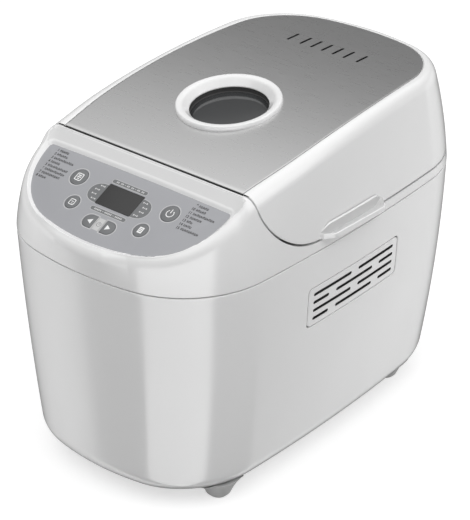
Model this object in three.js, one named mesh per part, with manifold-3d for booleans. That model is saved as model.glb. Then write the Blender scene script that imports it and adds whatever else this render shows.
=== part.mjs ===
// Bread machine: a white moulded body on four feet, a sloping control console at the front, and
// a domed lid hinged at the back. Inside are a heated chamber, a lift-out loaf pan with a kneading
// paddle, and a belt drive under the chamber floor.
//
// Units are millimetres, +Z is up and -Y is the front. The origin is on the floor under the
// middle of the footprint.

import * as THREE from 'three';
import { mergeVertices } from 'three/addons/utils/BufferGeometryUtils.js';
import Module from 'manifold-3d';

const wasm = await Module();
wasm.setup();

// ---------------------------------------------------------------------------------------------
// Driving dimensions
// ---------------------------------------------------------------------------------------------

// Fits
const GAP = 0.3;                    // between pieces that rest on or in each other
const PARTING_GAP = 0.7;            // between the lid and the housing all round
const KEY_GAP = 0.3;                // round each key in its hole

// Body in plan: tangent arcs, at the seam where it is widest
const BODY_DEPTH = 390;
const BODY_WIDTH = 236;
const BODY_WIDEST_FROM_FRONT = 141;
const BODY_SIDE_R = 1592;
const BODY_FRONT_R = 284;
const BODY_FRONT_CORNER_R = 80;
const BODY_REAR_R = 284;
const BODY_REAR_CORNER_R = 93;

// Body heights
const FOOT_HEIGHT = 12;
const BODY_HEIGHT = 190;            // feet to seam
const RIM_HEIGHT = 8;               // seam to the lid's lower edge
const LID_RISE = 80.4;              // lid's lower edge to the top of its arch
const ARCH_DROP_AT_CONSOLE = 23.73;  // the lid's arch is this much lower at the console than at its top
const ARCH_TOP_FROM_REAR = 84.7;

// Body shell
const WALL = 2.6;
const SIDE_DRAFT = 4.2;             // how far a side leans in over the whole height
const SIDE_TUCK = 11.2;             // and how far it curves in besides, towards the bottom
const FRONT_DRAFT = 8.8;
const FRONT_TUCK = 2.3;
const REAR_DRAFT = 3.9;
const REAR_TUCK = 12;
const BOTTOM_ROUND = 17;
const BASE_LIP = 11;                // ledge inside the body that the base plate screws to
const BASE_LIP_THICK = 2.5;

// Crown: the upper edge of the sides, where the shoulder meets the lid plate and the console
const CROWN_SIDE_INSET = 17.7;
const CROWN_FRONT_INSET = 9.3;
const CROWN_REAR_INSET = 32.2;
const CROWN_SIDE_R = 3500;
const CROWN_FRONT_R = 262;
const CROWN_FRONT_CORNER_R = 72;
const CROWN_REAR_R = 240;
const CROWN_REAR_CORNER_R = 66;
const SHOULDER_REACH = 11;          // the shoulder's rounding, inwards
const SHOULDER_DROP = 10;           // and downwards

// Console
const CONSOLE_DEPTH = 83.1;
const PANEL_TILT = THREE.MathUtils.degToRad(26.6);
const PANEL_FROM_FRONT = 48.4;      // middle of the display
const PANEL_ABOVE_SEAM = 42;
const PANEL_THICK = 2.5;
const CONSOLE_LIP = 2.5;            // the lip round the panel stands this far above it
const CONSOLE_REAR_WALL = 2.5;
const CONSOLE_BLEND = 12;           // length over which the lip rises to the lid's edge
const MEMBRANE_HALF_WIDTH = 98.5;
const MEMBRANE_UP = 26.5;           // above the display's middle, along the slope
const MEMBRANE_DOWN = 41;           // below it
const MEMBRANE_FRONT_R = 273;
const MEMBRANE_CORNER_R = 55;
const MEMBRANE_TOP_CORNER_R = 5;
const MEMBRANE_THICK = 0.8;
const DISPLAY_WIDTH = 34.8;
const DISPLAY_HEIGHT = 19;
const DISPLAY_LENS_THICK = 1.4;
const BIG_KEY_R = 7.6;
const SMALL_KEY_R = 6.2;
const BIG_KEY_X = 48;
const BIG_KEY_UP = 6.2;
const SMALL_KEY_X = 36.2;
const SMALL_KEY_UP = -16.4;
const ARROW_KEY_R = 5.8;
const ARROW_KEY_X = 10;
const ARROW_KEY_UP = -25.6;
const ARROW_KEY_STRAIGHT = 5.4;     // from the round end's centre to the flat inner end
const KEY_PROUD = 0.5;
const KEY_TRAVEL = 0.8;
const KEY_FLANGE = 1.3;
const KEY_FLANGE_THICK = 1;
const KEY_STEM_R = 2.2;
const BOARD_DROP = 5;               // control board below the panel's underside
const BOARD_THICK = 1.6;
const BOARD_WIDTH = 136;
const BOARD_LENGTH = 46;
const BOARD_POST_R = 3;
const BOARD_POST_INSET = 6;

// Lid edge: from the console's top rear corner it sweeps down the side to the rim
const SWEEP_LENGTH = 67.2;
const SWEEP_START_HANDLE = 27.4;
const SWEEP_END_HANDLE = 35;

// Lid
const LID_WALL = 2.6;
const PLATE_THICK = 0.8;
const PLATE_SIDE_INSET = 1.9;       // from the crown to the steel plate
const PLATE_REAR_INSET = 1.9;
const PLATE_WIDEST_FROM_FRONT = 170;
const PLATE_SIDE_R = 1300;
const PLATE_REAR_R = 220;
const PLATE_REAR_CORNER_R = 64;
const SLOT_COUNT_EACH_SIDE = 2;     // evenly spaced steam slots each side of the middle one
const SLOT_PITCH = 11.5;
const SLOT_OUTER_PITCH = 13.8;      // the outermost slot stands a little further out
const SLOT_LENGTH = 14.5;
const SLOT_WIDTH = 1.6;
const SLOT_FROM_REAR = 88.6;
const GRIP_LENGTH = 83;
const GRIP_OUTER_LENGTH = 61;
const GRIP_REACH = 8.8;
const GRIP_THICK = 5.5;
const GRIP_FROM_FRONT = 189.8;      // middle of the grip

// Window
const WINDOW_FROM_FRONT = 176.5;
const BEZEL_R = 43.7;
const BEZEL_HEIGHT = 3.2;
const BEZEL_LIP = 5.2;
const BEZEL_NECK_R = 37.6;
const BEZEL_THROAT_R = 32.2;
const BEZEL_FUNNEL_DEPTH = 3.6;
const BEZEL_THROAT_DEPTH = 9;
const BEZEL_NECK_DEPTH = 20;
const GLASS_THICK = 4;

// Lid underside
const FRAME_WALL = 2;
const FRAME_FLANGE = 2.2;
const FRAME_RISE = 34;
const DECK_DROP = 4.5;              // deck below the rim
const DECK_THICK = 2.5;
const POCKET_INSET = 3;             // from the crown to the deck's side wall
const SEAL_WIDTH = 2.5;
const LINER_WALL = 1;
const LINER_MARGIN = 1;             // the liner is this much larger than the chamber all round
const LINER_FLANGE = 1.2;
const LINER_RISE = 44;
const LINER_TAPER = 2;
const LINER_VENT_WIDTH = 3;
const LINER_VENT_FROM_REAR = 34;    // from the chamber's rear wall

// Hinge
const HINGE_X = 30;
const HINGE_PROUD = 3.5;            // how far the barrels stand out behind the body
const HINGE_BARREL_R = 4;
const HINGE_PIN_R = 2;
const HINGE_KNUCKLE = 16;           // length of the lid's knuckle
const HINGE_LUG = 5;                // length of each lug beside it
const HINGE_ABOVE_RIM = 1.5;

// Chamber
const CHAMBER_FROM_SIDE = 29;       // from the body's widest to the inside of the chamber
const CHAMBER_FROM_REAR = 76.9;
const CHAMBER_CORNER_R = 28;
const CHAMBER_WALL = 0.9;
const CHAMBER_FLANGE = 3;
const CHAMBER_BEHIND_CONSOLE = 24;
const CHAMBER_FLOOR_ABOVE_CHASSIS = 12;

// Pan
const PAN_SIDE_ROOM = 20;           // between the pan and the chamber, each side
const PAN_END_ROOM = 12;            // and at each end
const PAN_CORNER_R = 16;
const PAN_TAPER = 7;
const PAN_HEIGHT = 116;
const PAN_WALL = 1.5;
const PAN_BEAD = 2;
const PAN_FOOT_R = 36;
const PAN_FOOT_HEIGHT = 12;
const PAN_FOOT_WALL = 2.5;
const SOCKET_WALL = 2;
const SOCKET_HEIGHT = 8;
const BAIL_PIVOT_BELOW_RIM = 9;
const BAIL_ARM = 62;
const BAIL_WIRE_R = 2.2;
const BAIL_PIVOT_STUD_R = 3;
const BAIL_PIVOT_STUD = 5.2;

// Drive
const SPINDLE_R = 5;
const SPINDLE_BUSH_WALL = 4;
const BUSH_FLANGE = 5;
const BUSH_BELOW_CHASSIS = 4;
const BUSH_ABOVE_FLOOR = 2;
const DOG_LENGTH = 26;
const DOG_WIDTH = 6;
const DOG_HEIGHT = 5;
const DOG_HUB_R = 7;
const WING_INNER_R = 8.4;
const WING_OUTER_R = 13;
const WING_WIDTH = 7;
const PAN_SHAFT_R = 4;
const PAN_BUSH_WALL = 4;
const PADDLE_HUB_R = 9;
const PADDLE_HUB_HEIGHT = 24;
const PADDLE_BLADE_REACH = 44;
const PADDLE_BLADE_HEIGHT = 18;
const PADDLE_BLADE_THICK = 5;
const DRIVE_PULLEY_R = 48;
const MOTOR_PULLEY_R = 8;
const PULLEY_WIDTH = 12;
const PULLEY_FLANGE = 2.5;
const BELT_THICK = 1.8;
const BELT_WIDTH = 8;
const PULLEY_ABOVE_BASE = 7;

// Chassis and motor
const BASE_THICK = 3;
const CHASSIS_HEIGHT = 31;
const CHASSIS_THICK = 1.2;
const CHASSIS_WIDTH = 112;
const CHASSIS_FOOT = 8;
const CHASSIS_FROM_FRONT = 34.1;
const CHASSIS_OVERHANG = 42;        // of the table in front of its legs
const CHASSIS_REAR_REACH = 72;      // behind the spindle
const MOTOR_FROM_FRONT = 62;
const MOTOR_X = -26;
const MOTOR_WIDTH = 66;
const MOTOR_LENGTH = 58;
const MOTOR_STACK = 34;
const MOTOR_CAP_R = 25;
const MOTOR_CAP_HEIGHT = 14;
const MOTOR_SHAFT_R = 3.5;

// Heater and sensor
const HEATER_R = 3.2;
const HEATER_FROM_WALL = 9;
const HEATER_ABOVE_FLOOR = 16;
const HEATER_TERMINAL_X = 12;
const HEATER_TERMINAL_OUT = 14;
const HEATER_BEND_R = 16;
const SENSOR_R = 3;
const SENSOR_LENGTH = 26;
const SENSOR_ABOVE_FLOOR = 58;
const SENSOR_X = 40;

// Power board under the rear of the chassis
const POWER_BOARD_WIDTH = 96;
const POWER_BOARD_LENGTH = 56;
const POWER_BOARD_FROM_REAR = 59.9;
const POWER_POST_HEIGHT = 4;
const POWER_POST_R = 3;
const POWER_PART_HEIGHT = 15;
const TRANSFORMER_X = -24;
const TRANSFORMER_WIDTH = 32;
const TRANSFORMER_LENGTH = 28;
const RELAY_X = 12;
const RELAY_WIDTH = 20;
const RELAY_LENGTH = 16;
const RELAY_FORWARD = 12;
const CAPACITOR_X = 34;
const CAPACITOR_BACK = 8;
const CAPACITOR_R = 6;

// Side grilles
const GRILLE_LENGTH = 119.6;
const GRILLE_HEIGHT = 35.3;
const GRILLE_CORNER_R = 4;
const GRILLE_FROM_FRONT = 198.8;    // middle
const GRILLE_BELOW_SEAM = 49.5;     // middle
const GRILLE_SPAN = 104;            // from the first slot's end to the last one's
const GRILLE_LONG_SLOT = 46;
const GRILLE_SLOT_SPACE = 12;
const GRILLE_SLOT_HEIGHT = 2.6;
const GRILLE_ROWS = 4;
const GRILLE_ROW_PITCH = 7.5;

// Feet, screws and mains gland
const FOOT_TOP_R = 22;
const FOOT_BOTTOM_R = 9.5;
const FOOT_PEG_R = 3;
const FOOT_PEG_IN = 9;              // from the foot's middle towards the body's
const FOOT_FRONT_FROM_FRONT = 70.2;
const FOOT_REAR_FROM_REAR = 86.4;
const FOOT_FRONT_X = 81;
const FOOT_REAR_X = 71;
const SCREW_R = 1.8;
const SCREW_HEAD_R = 3.6;
const SCREW_HEAD_HEIGHT = 1.3;
const SCREW_LENGTH = 8;
const SCREW_INSET = 6;              // from the edge of the base plate
const GLAND_R = 6;
const GLAND_FLANGE = 3;
const GLAND_BORE_R = 3.6;
const GLAND_X = 62;
const GLAND_Z = 44;
const GLAND_LENGTH = 16;
const GLAND_COLLAR = 3;             // how far the collar stands out behind the wall

// Facets
const FRONT_STEPS = 3;
const CORNER_STEPS = 5;
const SIDE_STEPS = 4;
const REAR_STEPS = 2;
const ROUND = 24;
const SMALL_ROUND = 12;
const KEY_ROUND = 20;

// ---------------------------------------------------------------------------------------------
// Places worked out from the dimensions
// ---------------------------------------------------------------------------------------------

const FRONT_Y = -(BODY_DEPTH + HINGE_PROUD) / 2;
const REAR_Y = FRONT_Y + BODY_DEPTH;
const BODY_HALF_WIDTH = BODY_WIDTH / 2;
const BODY_BOTTOM_Z = FOOT_HEIGHT;
const SEAM_Z = BODY_BOTTOM_Z + BODY_HEIGHT;
const RIM_Z = SEAM_Z + RIM_HEIGHT;
const ARCH_TOP_Z = RIM_Z + LID_RISE;
const ARCH_TOP_Y = REAR_Y - ARCH_TOP_FROM_REAR;
const CONSOLE_REAR_Y = FRONT_Y + CONSOLE_DEPTH;
const ARCH_RUN = ARCH_TOP_Y - CONSOLE_REAR_Y;
const ARCH_R = (ARCH_RUN ** 2 + ARCH_DROP_AT_CONSOLE ** 2) / (2 * ARCH_DROP_AT_CONSOLE);
const PANEL_Y = FRONT_Y + PANEL_FROM_FRONT;
const PANEL_Z = SEAM_Z + PANEL_ABOVE_SEAM;
const BASE_TOP_Z = BODY_BOTTOM_Z + BASE_THICK;
const LIP_Z = BASE_TOP_Z + GAP;
const DECK_Z = RIM_Z - DECK_DROP;
const DECK_UNDER_Z = DECK_Z - DECK_THICK;
const CHAMBER_WIDTH = 2 * (BODY_HALF_WIDTH - CHAMBER_FROM_SIDE);
const CHAMBER_FRONT_Y = CONSOLE_REAR_Y + CHAMBER_BEHIND_CONSOLE;
const CHAMBER_REAR_Y = REAR_Y - CHAMBER_FROM_REAR;
const CHAMBER_LENGTH = CHAMBER_REAR_Y - CHAMBER_FRONT_Y;
const CHAMBER_Y = (CHAMBER_FRONT_Y + CHAMBER_REAR_Y) / 2;
const PAN_WIDTH = CHAMBER_WIDTH - 2 * PAN_SIDE_ROOM;
const PAN_LENGTH = CHAMBER_LENGTH - 2 * PAN_END_ROOM;
const CHASSIS_Z = BASE_TOP_Z + CHASSIS_HEIGHT;
const CHAMBER_FLOOR_Z = CHASSIS_Z + CHAMBER_FLOOR_ABOVE_CHASSIS;
const CHAMBER_TOP_Z = DECK_UNDER_Z - GAP;
const FLOOR_TOP_Z = CHAMBER_FLOOR_Z + CHAMBER_WALL;
const PAN_FOOT_Z = FLOOR_TOP_Z + GAP;
const PAN_BOTTOM_Z = PAN_FOOT_Z + PAN_FOOT_HEIGHT + GAP;
const PAN_RIM_Z = PAN_BOTTOM_Z + PAN_HEIGHT;
const BAIL_Z = PAN_RIM_Z - BAIL_PIVOT_BELOW_RIM;
const HINGE_Y = REAR_Y + HINGE_PROUD - HINGE_BARREL_R;
const HINGE_Z = RIM_Z + HINGE_ABOVE_RIM;
const WINDOW_Y = FRONT_Y + WINDOW_FROM_FRONT;
const PULLEY_Z = BASE_TOP_Z + PULLEY_ABOVE_BASE;
const MOTOR_Y = FRONT_Y + MOTOR_FROM_FRONT;
const FAR = 400;                    // past every face, for cutting tools

// ---------------------------------------------------------------------------------------------
// Solids: three.js geometry in, joined or cut, three.js geometry out
// ---------------------------------------------------------------------------------------------

function solid(geometry) {
  const bare = geometry.clone();
  bare.deleteAttribute('normal');
  bare.deleteAttribute('uv');
  const merged = mergeVertices(bare, 1e-4);
  return new wasm.Manifold(new wasm.Mesh({
    numProp: 3,
    vertProperties: Float32Array.from(merged.attributes.position.array),
    triVerts: Uint32Array.from(merged.index.array),
  }));
}

function cut(body, ...tools) {
  return tools.reduce((left, tool) => left.subtract(tool), body);
}

function join(body, ...others) {
  return others.reduce((sum, other) => sum.add(other), body);
}

function common(body, ...others) {
  return others.reduce((left, other) => left.intersect(other), body);
}

function geometryOf(manifold) {
  const mesh = manifold.getMesh();
  const geometry = new THREE.BufferGeometry();
  geometry.setAttribute('position', new THREE.BufferAttribute(mesh.vertProperties, 3));
  geometry.setIndex(new THREE.BufferAttribute(mesh.triVerts, 1));
  geometry.computeVertexNormals();
  return geometry;
}

// Closed skin over a row of rings with equally many points: the sides between neighbours, then
// either caps on the first and last ring or, for a hollow one, the sides from the last to the first.
function loft(rings, hollow = false) {
  const count = rings[0].length;
  const positions = rings.flat().flatMap((p) => [p.x, p.y, p.z]);
  const index = [];
  const spans = hollow ? rings.length : rings.length - 1;
  for (let r = 0; r < spans; r += 1) {
    const low = r * count;
    const high = ((r + 1) % rings.length) * count;
    for (let i = 0; i < count; i += 1) {
      const j = (i + 1) % count;
      index.push(low + i, low + j, high + j, low + i, high + j, high + i);
    }
  }
  if (!hollow) {
    const flat = (ring) => ring.map((p) => new THREE.Vector2(p.x, p.y));
    const last = (rings.length - 1) * count;
    for (const [a, b, c] of THREE.ShapeUtils.triangulateShape(flat(rings[0]), [])) {
      index.push(c, b, a);
    }
    for (const [a, b, c] of THREE.ShapeUtils.triangulateShape(flat(rings[rings.length - 1]), [])) {
      index.push(last + a, last + b, last + c);
    }
  }
  const geometry = new THREE.BufferGeometry();
  geometry.setAttribute('position', new THREE.Float32BufferAttribute(positions, 3));
  geometry.setIndex(index);
  return facingOut(geometry);
}

function facingOut(geometry) {
  const p = geometry.attributes.position;
  const [a, b, c] = [new THREE.Vector3(), new THREE.Vector3(), new THREE.Vector3()];
  const index = Array.from(geometry.index.array);
  let volume = 0;
  for (let i = 0; i < index.length; i += 3) {
    a.fromBufferAttribute(p, index[i]);
    b.fromBufferAttribute(p, index[i + 1]);
    c.fromBufferAttribute(p, index[i + 2]);
    volume += a.dot(b.cross(c));
  }
  if (volume < 0) {
    index.reverse();
    geometry.setIndex(index);
  }
  return solid(geometry);
}

function box(x0, x1, y0, y1, z0, z1) {
  const geometry = new THREE.BoxGeometry(x1 - x0, y1 - y0, z1 - z0);
  geometry.translate((x0 + x1) / 2, (y0 + y1) / 2, (z0 + z1) / 2);
  return solid(geometry);
}

// Upright cylinder or cone from z0 to z1.
function post(x, y, z0, z1, r0, r1 = r0, sides = SMALL_ROUND) {
  const geometry = new THREE.CylinderGeometry(r1, r0, z1 - z0, sides);
  geometry.rotateX(Math.PI / 2);
  geometry.translate(x, y, (z0 + z1) / 2);
  return solid(geometry);
}

// Cylinder lying along X from x0 to x1.
function rod(x0, x1, y, z, r, sides = SMALL_ROUND) {
  const geometry = new THREE.CylinderGeometry(r, r, x1 - x0, sides);
  geometry.rotateZ(Math.PI / 2);
  geometry.translate((x0 + x1) / 2, y, z);
  return solid(geometry);
}

// Cylinder lying along Y from y0 to y1.
function bolt(x, y0, y1, z, r, sides = SMALL_ROUND) {
  const geometry = new THREE.CylinderGeometry(r, r, y1 - y0, sides);
  geometry.translate(x, (y0 + y1) / 2, z);
  return solid(geometry);
}

// Solid of revolution about Z from [radius, z] pairs that start and end on the axis or close.
function turned(profile, sides = ROUND) {
  const points = profile.map(([r, z]) => new THREE.Vector2(r, z));
  const geometry = new THREE.LatheGeometry(points, sides);
  geometry.rotateX(Math.PI / 2);
  const merged = mergeVertices(stripped(geometry), 1e-4);
  return facingOut(withoutSlivers(merged));
}

function stripped(geometry) {
  geometry.deleteAttribute('normal');
  geometry.deleteAttribute('uv');
  return geometry;
}

// A lathe makes triangles with two equal corners where its profile meets the axis.
function withoutSlivers(geometry) {
  const index = Array.from(geometry.index.array);
  const kept = [];
  for (let i = 0; i < index.length; i += 3) {
    const [a, b, c] = index.slice(i, i + 3);
    if (a !== b && b !== c && c !== a) {
      kept.push(a, b, c);
    }
  }
  geometry.setIndex(kept);
  return geometry;
}

// Prism over a plan outline of Vector2 points.
function prism(outline, z0, z1) {
  const geometry = new THREE.ExtrudeGeometry(new THREE.Shape(outline), {
    depth: z1 - z0,
    bevelEnabled: false,
  });
  geometry.translate(0, 0, z0);
  return solid(geometry);
}

// Prism along X over a side view: points are Vector2 with x as Y and y as Z.
function sideProfile(points, x0, x1) {
  const geometry = new THREE.ExtrudeGeometry(new THREE.Shape(points), {
    depth: x1 - x0,
    bevelEnabled: false,
  });
  geometry.rotateX(Math.PI / 2);
  geometry.rotateZ(Math.PI / 2);
  geometry.translate(x0, 0, 0);
  return solid(geometry);
}

// ---------------------------------------------------------------------------------------------
// Outlines
// ---------------------------------------------------------------------------------------------

// Centre of the arc of radius r that touches two larger arcs from inside, on the side of hint.
function innerArcCentre(c1, r1, c2, r2, r, hint) {
  const d = c1.distanceTo(c2);
  const along = ((r1 - r) ** 2 - (r2 - r) ** 2 + d * d) / (2 * d);
  const off = Math.sqrt(Math.max((r1 - r) ** 2 - along ** 2, 0));
  const u = c2.clone().sub(c1).divideScalar(d);
  const foot = c1.clone().addScaledVector(u, along);
  const normal = new THREE.Vector2(-u.y, u.x);
  const options = [foot.clone().addScaledVector(normal, off), foot.clone().addScaledVector(normal, -off)];
  return options[0].dot(hint) > options[1].dot(hint) ? options[0] : options[1];
}

// Outline of tangent arcs, mirrored about x = 0 and given anticlockwise from the front centre:
// front arc, front corner, side arc, rear corner and rear arc.
function arcOutline(o) {
  const side = new THREE.Vector2(o.halfWidth - o.sideR, o.widestY);
  const front = new THREE.Vector2(0, o.frontY + o.frontR);
  const rear = new THREE.Vector2(0, o.rearY - o.rearR);
  const frontHint = new THREE.Vector2(1, -0.3);
  const rearHint = new THREE.Vector2(1, 0.3);
  const k1 = innerArcCentre(side, o.sideR, front, o.frontR, o.frontCornerR, frontHint);
  const k2 = innerArcCentre(side, o.sideR, rear, o.rearR, o.rearCornerR, rearHint);
  const bearing = (from, to) => Math.atan2(to.y - from.y, to.x - from.x);
  const a1 = bearing(front, k1);
  const a2 = bearing(side, k1);
  const a3 = bearing(side, k2);
  const a4 = bearing(rear, k2);
  const arcs = [
    [front, o.frontR, -Math.PI / 2, a1, FRONT_STEPS],
    [k1, o.frontCornerR, a1, a2, CORNER_STEPS],
    [side, o.sideR, a2, a3, SIDE_STEPS],
    [k2, o.rearCornerR, a3, a4, CORNER_STEPS],
    [rear, o.rearR, a4, Math.PI / 2, REAR_STEPS],
  ];
  const half = [];
  for (const [centre, r, from, to, steps] of arcs) {
    for (let i = 0; i < steps; i += 1) {
      const a = from + ((to - from) * i) / steps;
      half.push(new THREE.Vector2(centre.x + r * Math.cos(a), centre.y + r * Math.sin(a)));
    }
  }
  const rearMiddle = new THREE.Vector2(0, o.rearY);
  const left = half.slice(1).reverse().map((p) => new THREE.Vector2(-p.x, p.y));
  return [...half, rearMiddle, ...left];
}

// The same outline moved inwards by one distance all round.
function shrunk(o, by) {
  return {
    ...o,
    halfWidth: o.halfWidth - by,
    sideR: o.sideR - by,
    frontY: o.frontY + by,
    frontR: o.frontR - by,
    frontCornerR: Math.max(o.frontCornerR - by, 1),
    rearY: o.rearY - by,
    rearR: o.rearR - by,
    rearCornerR: Math.max(o.rearCornerR - by, 1),
  };
}

function roundedRect(width, length, r, cx = 0, cy = 0, steps = 4) {
  const points = [];
  const corners = [[1, -1], [1, 1], [-1, 1], [-1, -1]];
  corners.forEach(([sx, sy], k) => {
    for (let i = 0; i <= steps; i += 1) {
      const a = ((k - 1) + i / steps) * (Math.PI / 2);
      const x = cx + sx * (width / 2 - r) + r * Math.cos(a);
      const y = cy + sy * (length / 2 - r) + r * Math.sin(a);
      points.push(new THREE.Vector2(x, y));
    }
  });
  return points;
}

const atHeight = (outline, z) => outline.map((p) => new THREE.Vector3(p.x, p.y, z));

const BELT = {
  halfWidth: BODY_HALF_WIDTH,
  widestY: FRONT_Y + BODY_WIDEST_FROM_FRONT,
  sideR: BODY_SIDE_R,
  frontY: FRONT_Y,
  frontR: BODY_FRONT_R,
  frontCornerR: BODY_FRONT_CORNER_R,
  rearY: REAR_Y,
  rearR: BODY_REAR_R,
  rearCornerR: BODY_REAR_CORNER_R,
};

const CROWN = {
  halfWidth: BODY_HALF_WIDTH - CROWN_SIDE_INSET,
  widestY: FRONT_Y + BODY_WIDEST_FROM_FRONT,
  sideR: CROWN_SIDE_R,
  frontY: FRONT_Y + CROWN_FRONT_INSET,
  frontR: CROWN_FRONT_R,
  frontCornerR: CROWN_FRONT_CORNER_R,
  rearY: REAR_Y - CROWN_REAR_INSET,
  rearR: CROWN_REAR_R,
  rearCornerR: CROWN_REAR_CORNER_R,
};

const PLATE = {
  halfWidth: CROWN.halfWidth - PLATE_SIDE_INSET,
  widestY: FRONT_Y + PLATE_WIDEST_FROM_FRONT,
  sideR: PLATE_SIDE_R,
  frontY: CROWN.frontY,
  frontR: CROWN_FRONT_R,
  frontCornerR: CROWN_FRONT_CORNER_R,
  rearY: CROWN.rearY - PLATE_REAR_INSET,
  rearR: PLATE_REAR_R,
  rearCornerR: PLATE_REAR_CORNER_R,
};

// ---------------------------------------------------------------------------------------------
// Side views: the lid's arch, the console's slope and the sweep between lid and housing
// ---------------------------------------------------------------------------------------------

const archZ = (y) => ARCH_TOP_Z - ARCH_R + Math.sqrt(ARCH_R ** 2 - (y - ARCH_TOP_Y) ** 2);

const panelZ = (y) => PANEL_Z + (y - PANEL_Y) * Math.tan(PANEL_TILT);

// Height of the crown: the arch over the lid, the lip along the console, and a smooth rise between.
function crownZ(y) {
  const lip = panelZ(y) + CONSOLE_LIP / Math.cos(PANEL_TILT);
  const start = CONSOLE_REAR_Y - CONSOLE_REAR_WALL - CONSOLE_BLEND;
  const share = THREE.MathUtils.smoothstep(y, start, start + CONSOLE_BLEND);
  return THREE.MathUtils.lerp(lip, archZ(y), share);
}

// Everything below the arch lowered by drop.
function belowArch(drop) {
  const steps = 10;
  const points = [new THREE.Vector2(REAR_Y + 10, 0), new THREE.Vector2(FRONT_Y - 10, 0)];
  for (let i = 0; i <= steps; i += 1) {
    const y = FRONT_Y - 10 + ((BODY_DEPTH + 20) * i) / steps;
    points.push(new THREE.Vector2(y, archZ(y) - drop));
  }
  return sideProfile(points, -FAR, FAR);
}

// The lid's share of the body, seen from the side: behind the console and above the sweep and the
// rim. It is moved back and up by gap.
function lidRegion(gap) {
  const y0 = CONSOLE_REAR_Y + gap;
  const z0 = RIM_Z + gap;
  const top = archZ(CONSOLE_REAR_Y);
  const sweep = new THREE.CubicBezierCurve(
    new THREE.Vector2(y0, top),
    new THREE.Vector2(y0, top - SWEEP_START_HANDLE),
    new THREE.Vector2(y0 + SWEEP_LENGTH - SWEEP_END_HANDLE, z0),
    new THREE.Vector2(y0 + SWEEP_LENGTH, z0),
  );
  const points = [
    new THREE.Vector2(y0, FAR),
    ...sweep.getPoints(9),
    new THREE.Vector2(FAR, z0),
    new THREE.Vector2(FAR, FAR),
  ];
  return sideProfile(points, -FAR, FAR);
}

// ---------------------------------------------------------------------------------------------
// Outer skin
// ---------------------------------------------------------------------------------------------

// Solid inside the body's skin above the seam: walls that lean from the belt in to the shoulder, a
// rounded shoulder, and a top that follows the crown's height. inset gives the skin's inner faces.
function skinAboveSeam(inset, floorZ = SEAM_Z) {
  const belt = arcOutline(shrunk(BELT, inset));
  const crown = arcOutline(shrunk(CROWN, inset));
  const rings = [atHeight(belt, floorZ)];
  const ring = (inward, height) => belt.map((p, i) => {
    const q = crown[i];
    const top = crownZ(q.y) - inset;
    const [share, z] = [inward(p.distanceTo(q)), height(top)];
    return new THREE.Vector3(THREE.MathUtils.lerp(p.x, q.x, share), THREE.MathUtils.lerp(p.y, q.y, share), z);
  });
  const wallShare = (d) => Math.max(1 - SHOULDER_REACH / d, 0);
  for (const v of [0.5, 1]) {
    const share = 0.5 * v + 0.5 * v * v;
    rings.push(ring((d) => wallShare(d) * share, (top) => {
      const foot = Math.max(floorZ, SEAM_Z);
      return foot + (top - SHOULDER_DROP - foot) * v;
    }));
  }
  for (const a of [30, 60, 90]) {
    const t = THREE.MathUtils.degToRad(a);
    const share = 1 - Math.cos(t);
    rings.push(ring((d) => wallShare(d) + (1 - wallShare(d)) * share, (top) => {
      return top - SHOULDER_DROP * (1 - Math.sin(t));
    }));
  }
  return cappedAcross(rings);
}

// Like loft, but the top ring is closed by strips from side to side, because its height changes
// only from front to back.
function cappedAcross(rings) {
  const count = rings[0].length;
  const half = count / 2;
  const positions = rings.flat().flatMap((p) => [p.x, p.y, p.z]);
  const index = [];
  for (let r = 0; r < rings.length - 1; r += 1) {
    for (let i = 0; i < count; i += 1) {
      const j = (i + 1) % count;
      const [low, high] = [r * count, (r + 1) * count];
      index.push(low + i, low + j, high + j, low + i, high + j, high + i);
    }
  }
  const mirror = (i) => (count - i) % count;
  const strips = (offset, flip) => {
    for (let i = 0; i < half; i += 1) {
      const [r0, r1, l0, l1] = [i, i + 1, mirror(i), mirror(i + 1)].map((k) => offset + k);
      const faces = [];
      if (r0 !== l0) {
        faces.push([r0, r1, l0]);
      }
      if (r1 !== l1) {
        faces.push([l0, r1, l1]);
      }
      for (const face of faces) {
        index.push(...(flip ? face.reverse() : face));
      }
    }
  };
  strips((rings.length - 1) * count, false);
  strips(0, true);
  const geometry = new THREE.BufferGeometry();
  geometry.setAttribute('position', new THREE.Float32BufferAttribute(positions, 3));
  geometry.setIndex(index);
  return facingOut(geometry);
}

// Ring of the body below the seam. down is 0 at the seam and 1 at the bottom; extra pulls it in.
function bodyRing(down, extra, z) {
  const side = SIDE_DRAFT * down + SIDE_TUCK * down ** 2 + extra;
  const front = FRONT_DRAFT * down + FRONT_TUCK * down ** 2 + extra;
  const rear = REAR_DRAFT * down + REAR_TUCK * down ** 2 + extra;
  const kx = (BODY_HALF_WIDTH - side) / BODY_HALF_WIDTH;
  const ky = (BODY_DEPTH - front - rear) / BODY_DEPTH;
  return arcOutline(BELT).map((p) => {
    return new THREE.Vector3(p.x * kx, FRONT_Y + front + (p.y - FRONT_Y) * ky, z);
  });
}

// Rings from the seam down and round the bottom edge, inset by one distance.
function bodyRings(inset, topZ) {
  const rings = [];
  const roundStart = 1 - BOTTOM_ROUND / BODY_HEIGHT;
  for (const down of [0, 0.45, 0.75, roundStart]) {
    const z = down === 0 ? topZ : SEAM_Z - BODY_HEIGHT * down;
    rings.push(bodyRing(down, inset, z));
  }
  for (const a of [45, 90]) {
    const t = THREE.MathUtils.degToRad(a);
    const down = roundStart + (BOTTOM_ROUND / BODY_HEIGHT) * Math.sin(t);
    const rise = inset * Math.sin(t);
    const extra = inset * Math.cos(t) + BOTTOM_ROUND * (1 - Math.cos(t));
    rings.push(bodyRing(down, extra, SEAM_Z - BODY_HEIGHT * down + rise));
  }
  return rings;
}

const bodyBelowSeam = (inset) => loft(bodyRings(inset, SEAM_Z + GAP));

// ---------------------------------------------------------------------------------------------
// Materials
// ---------------------------------------------------------------------------------------------

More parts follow.
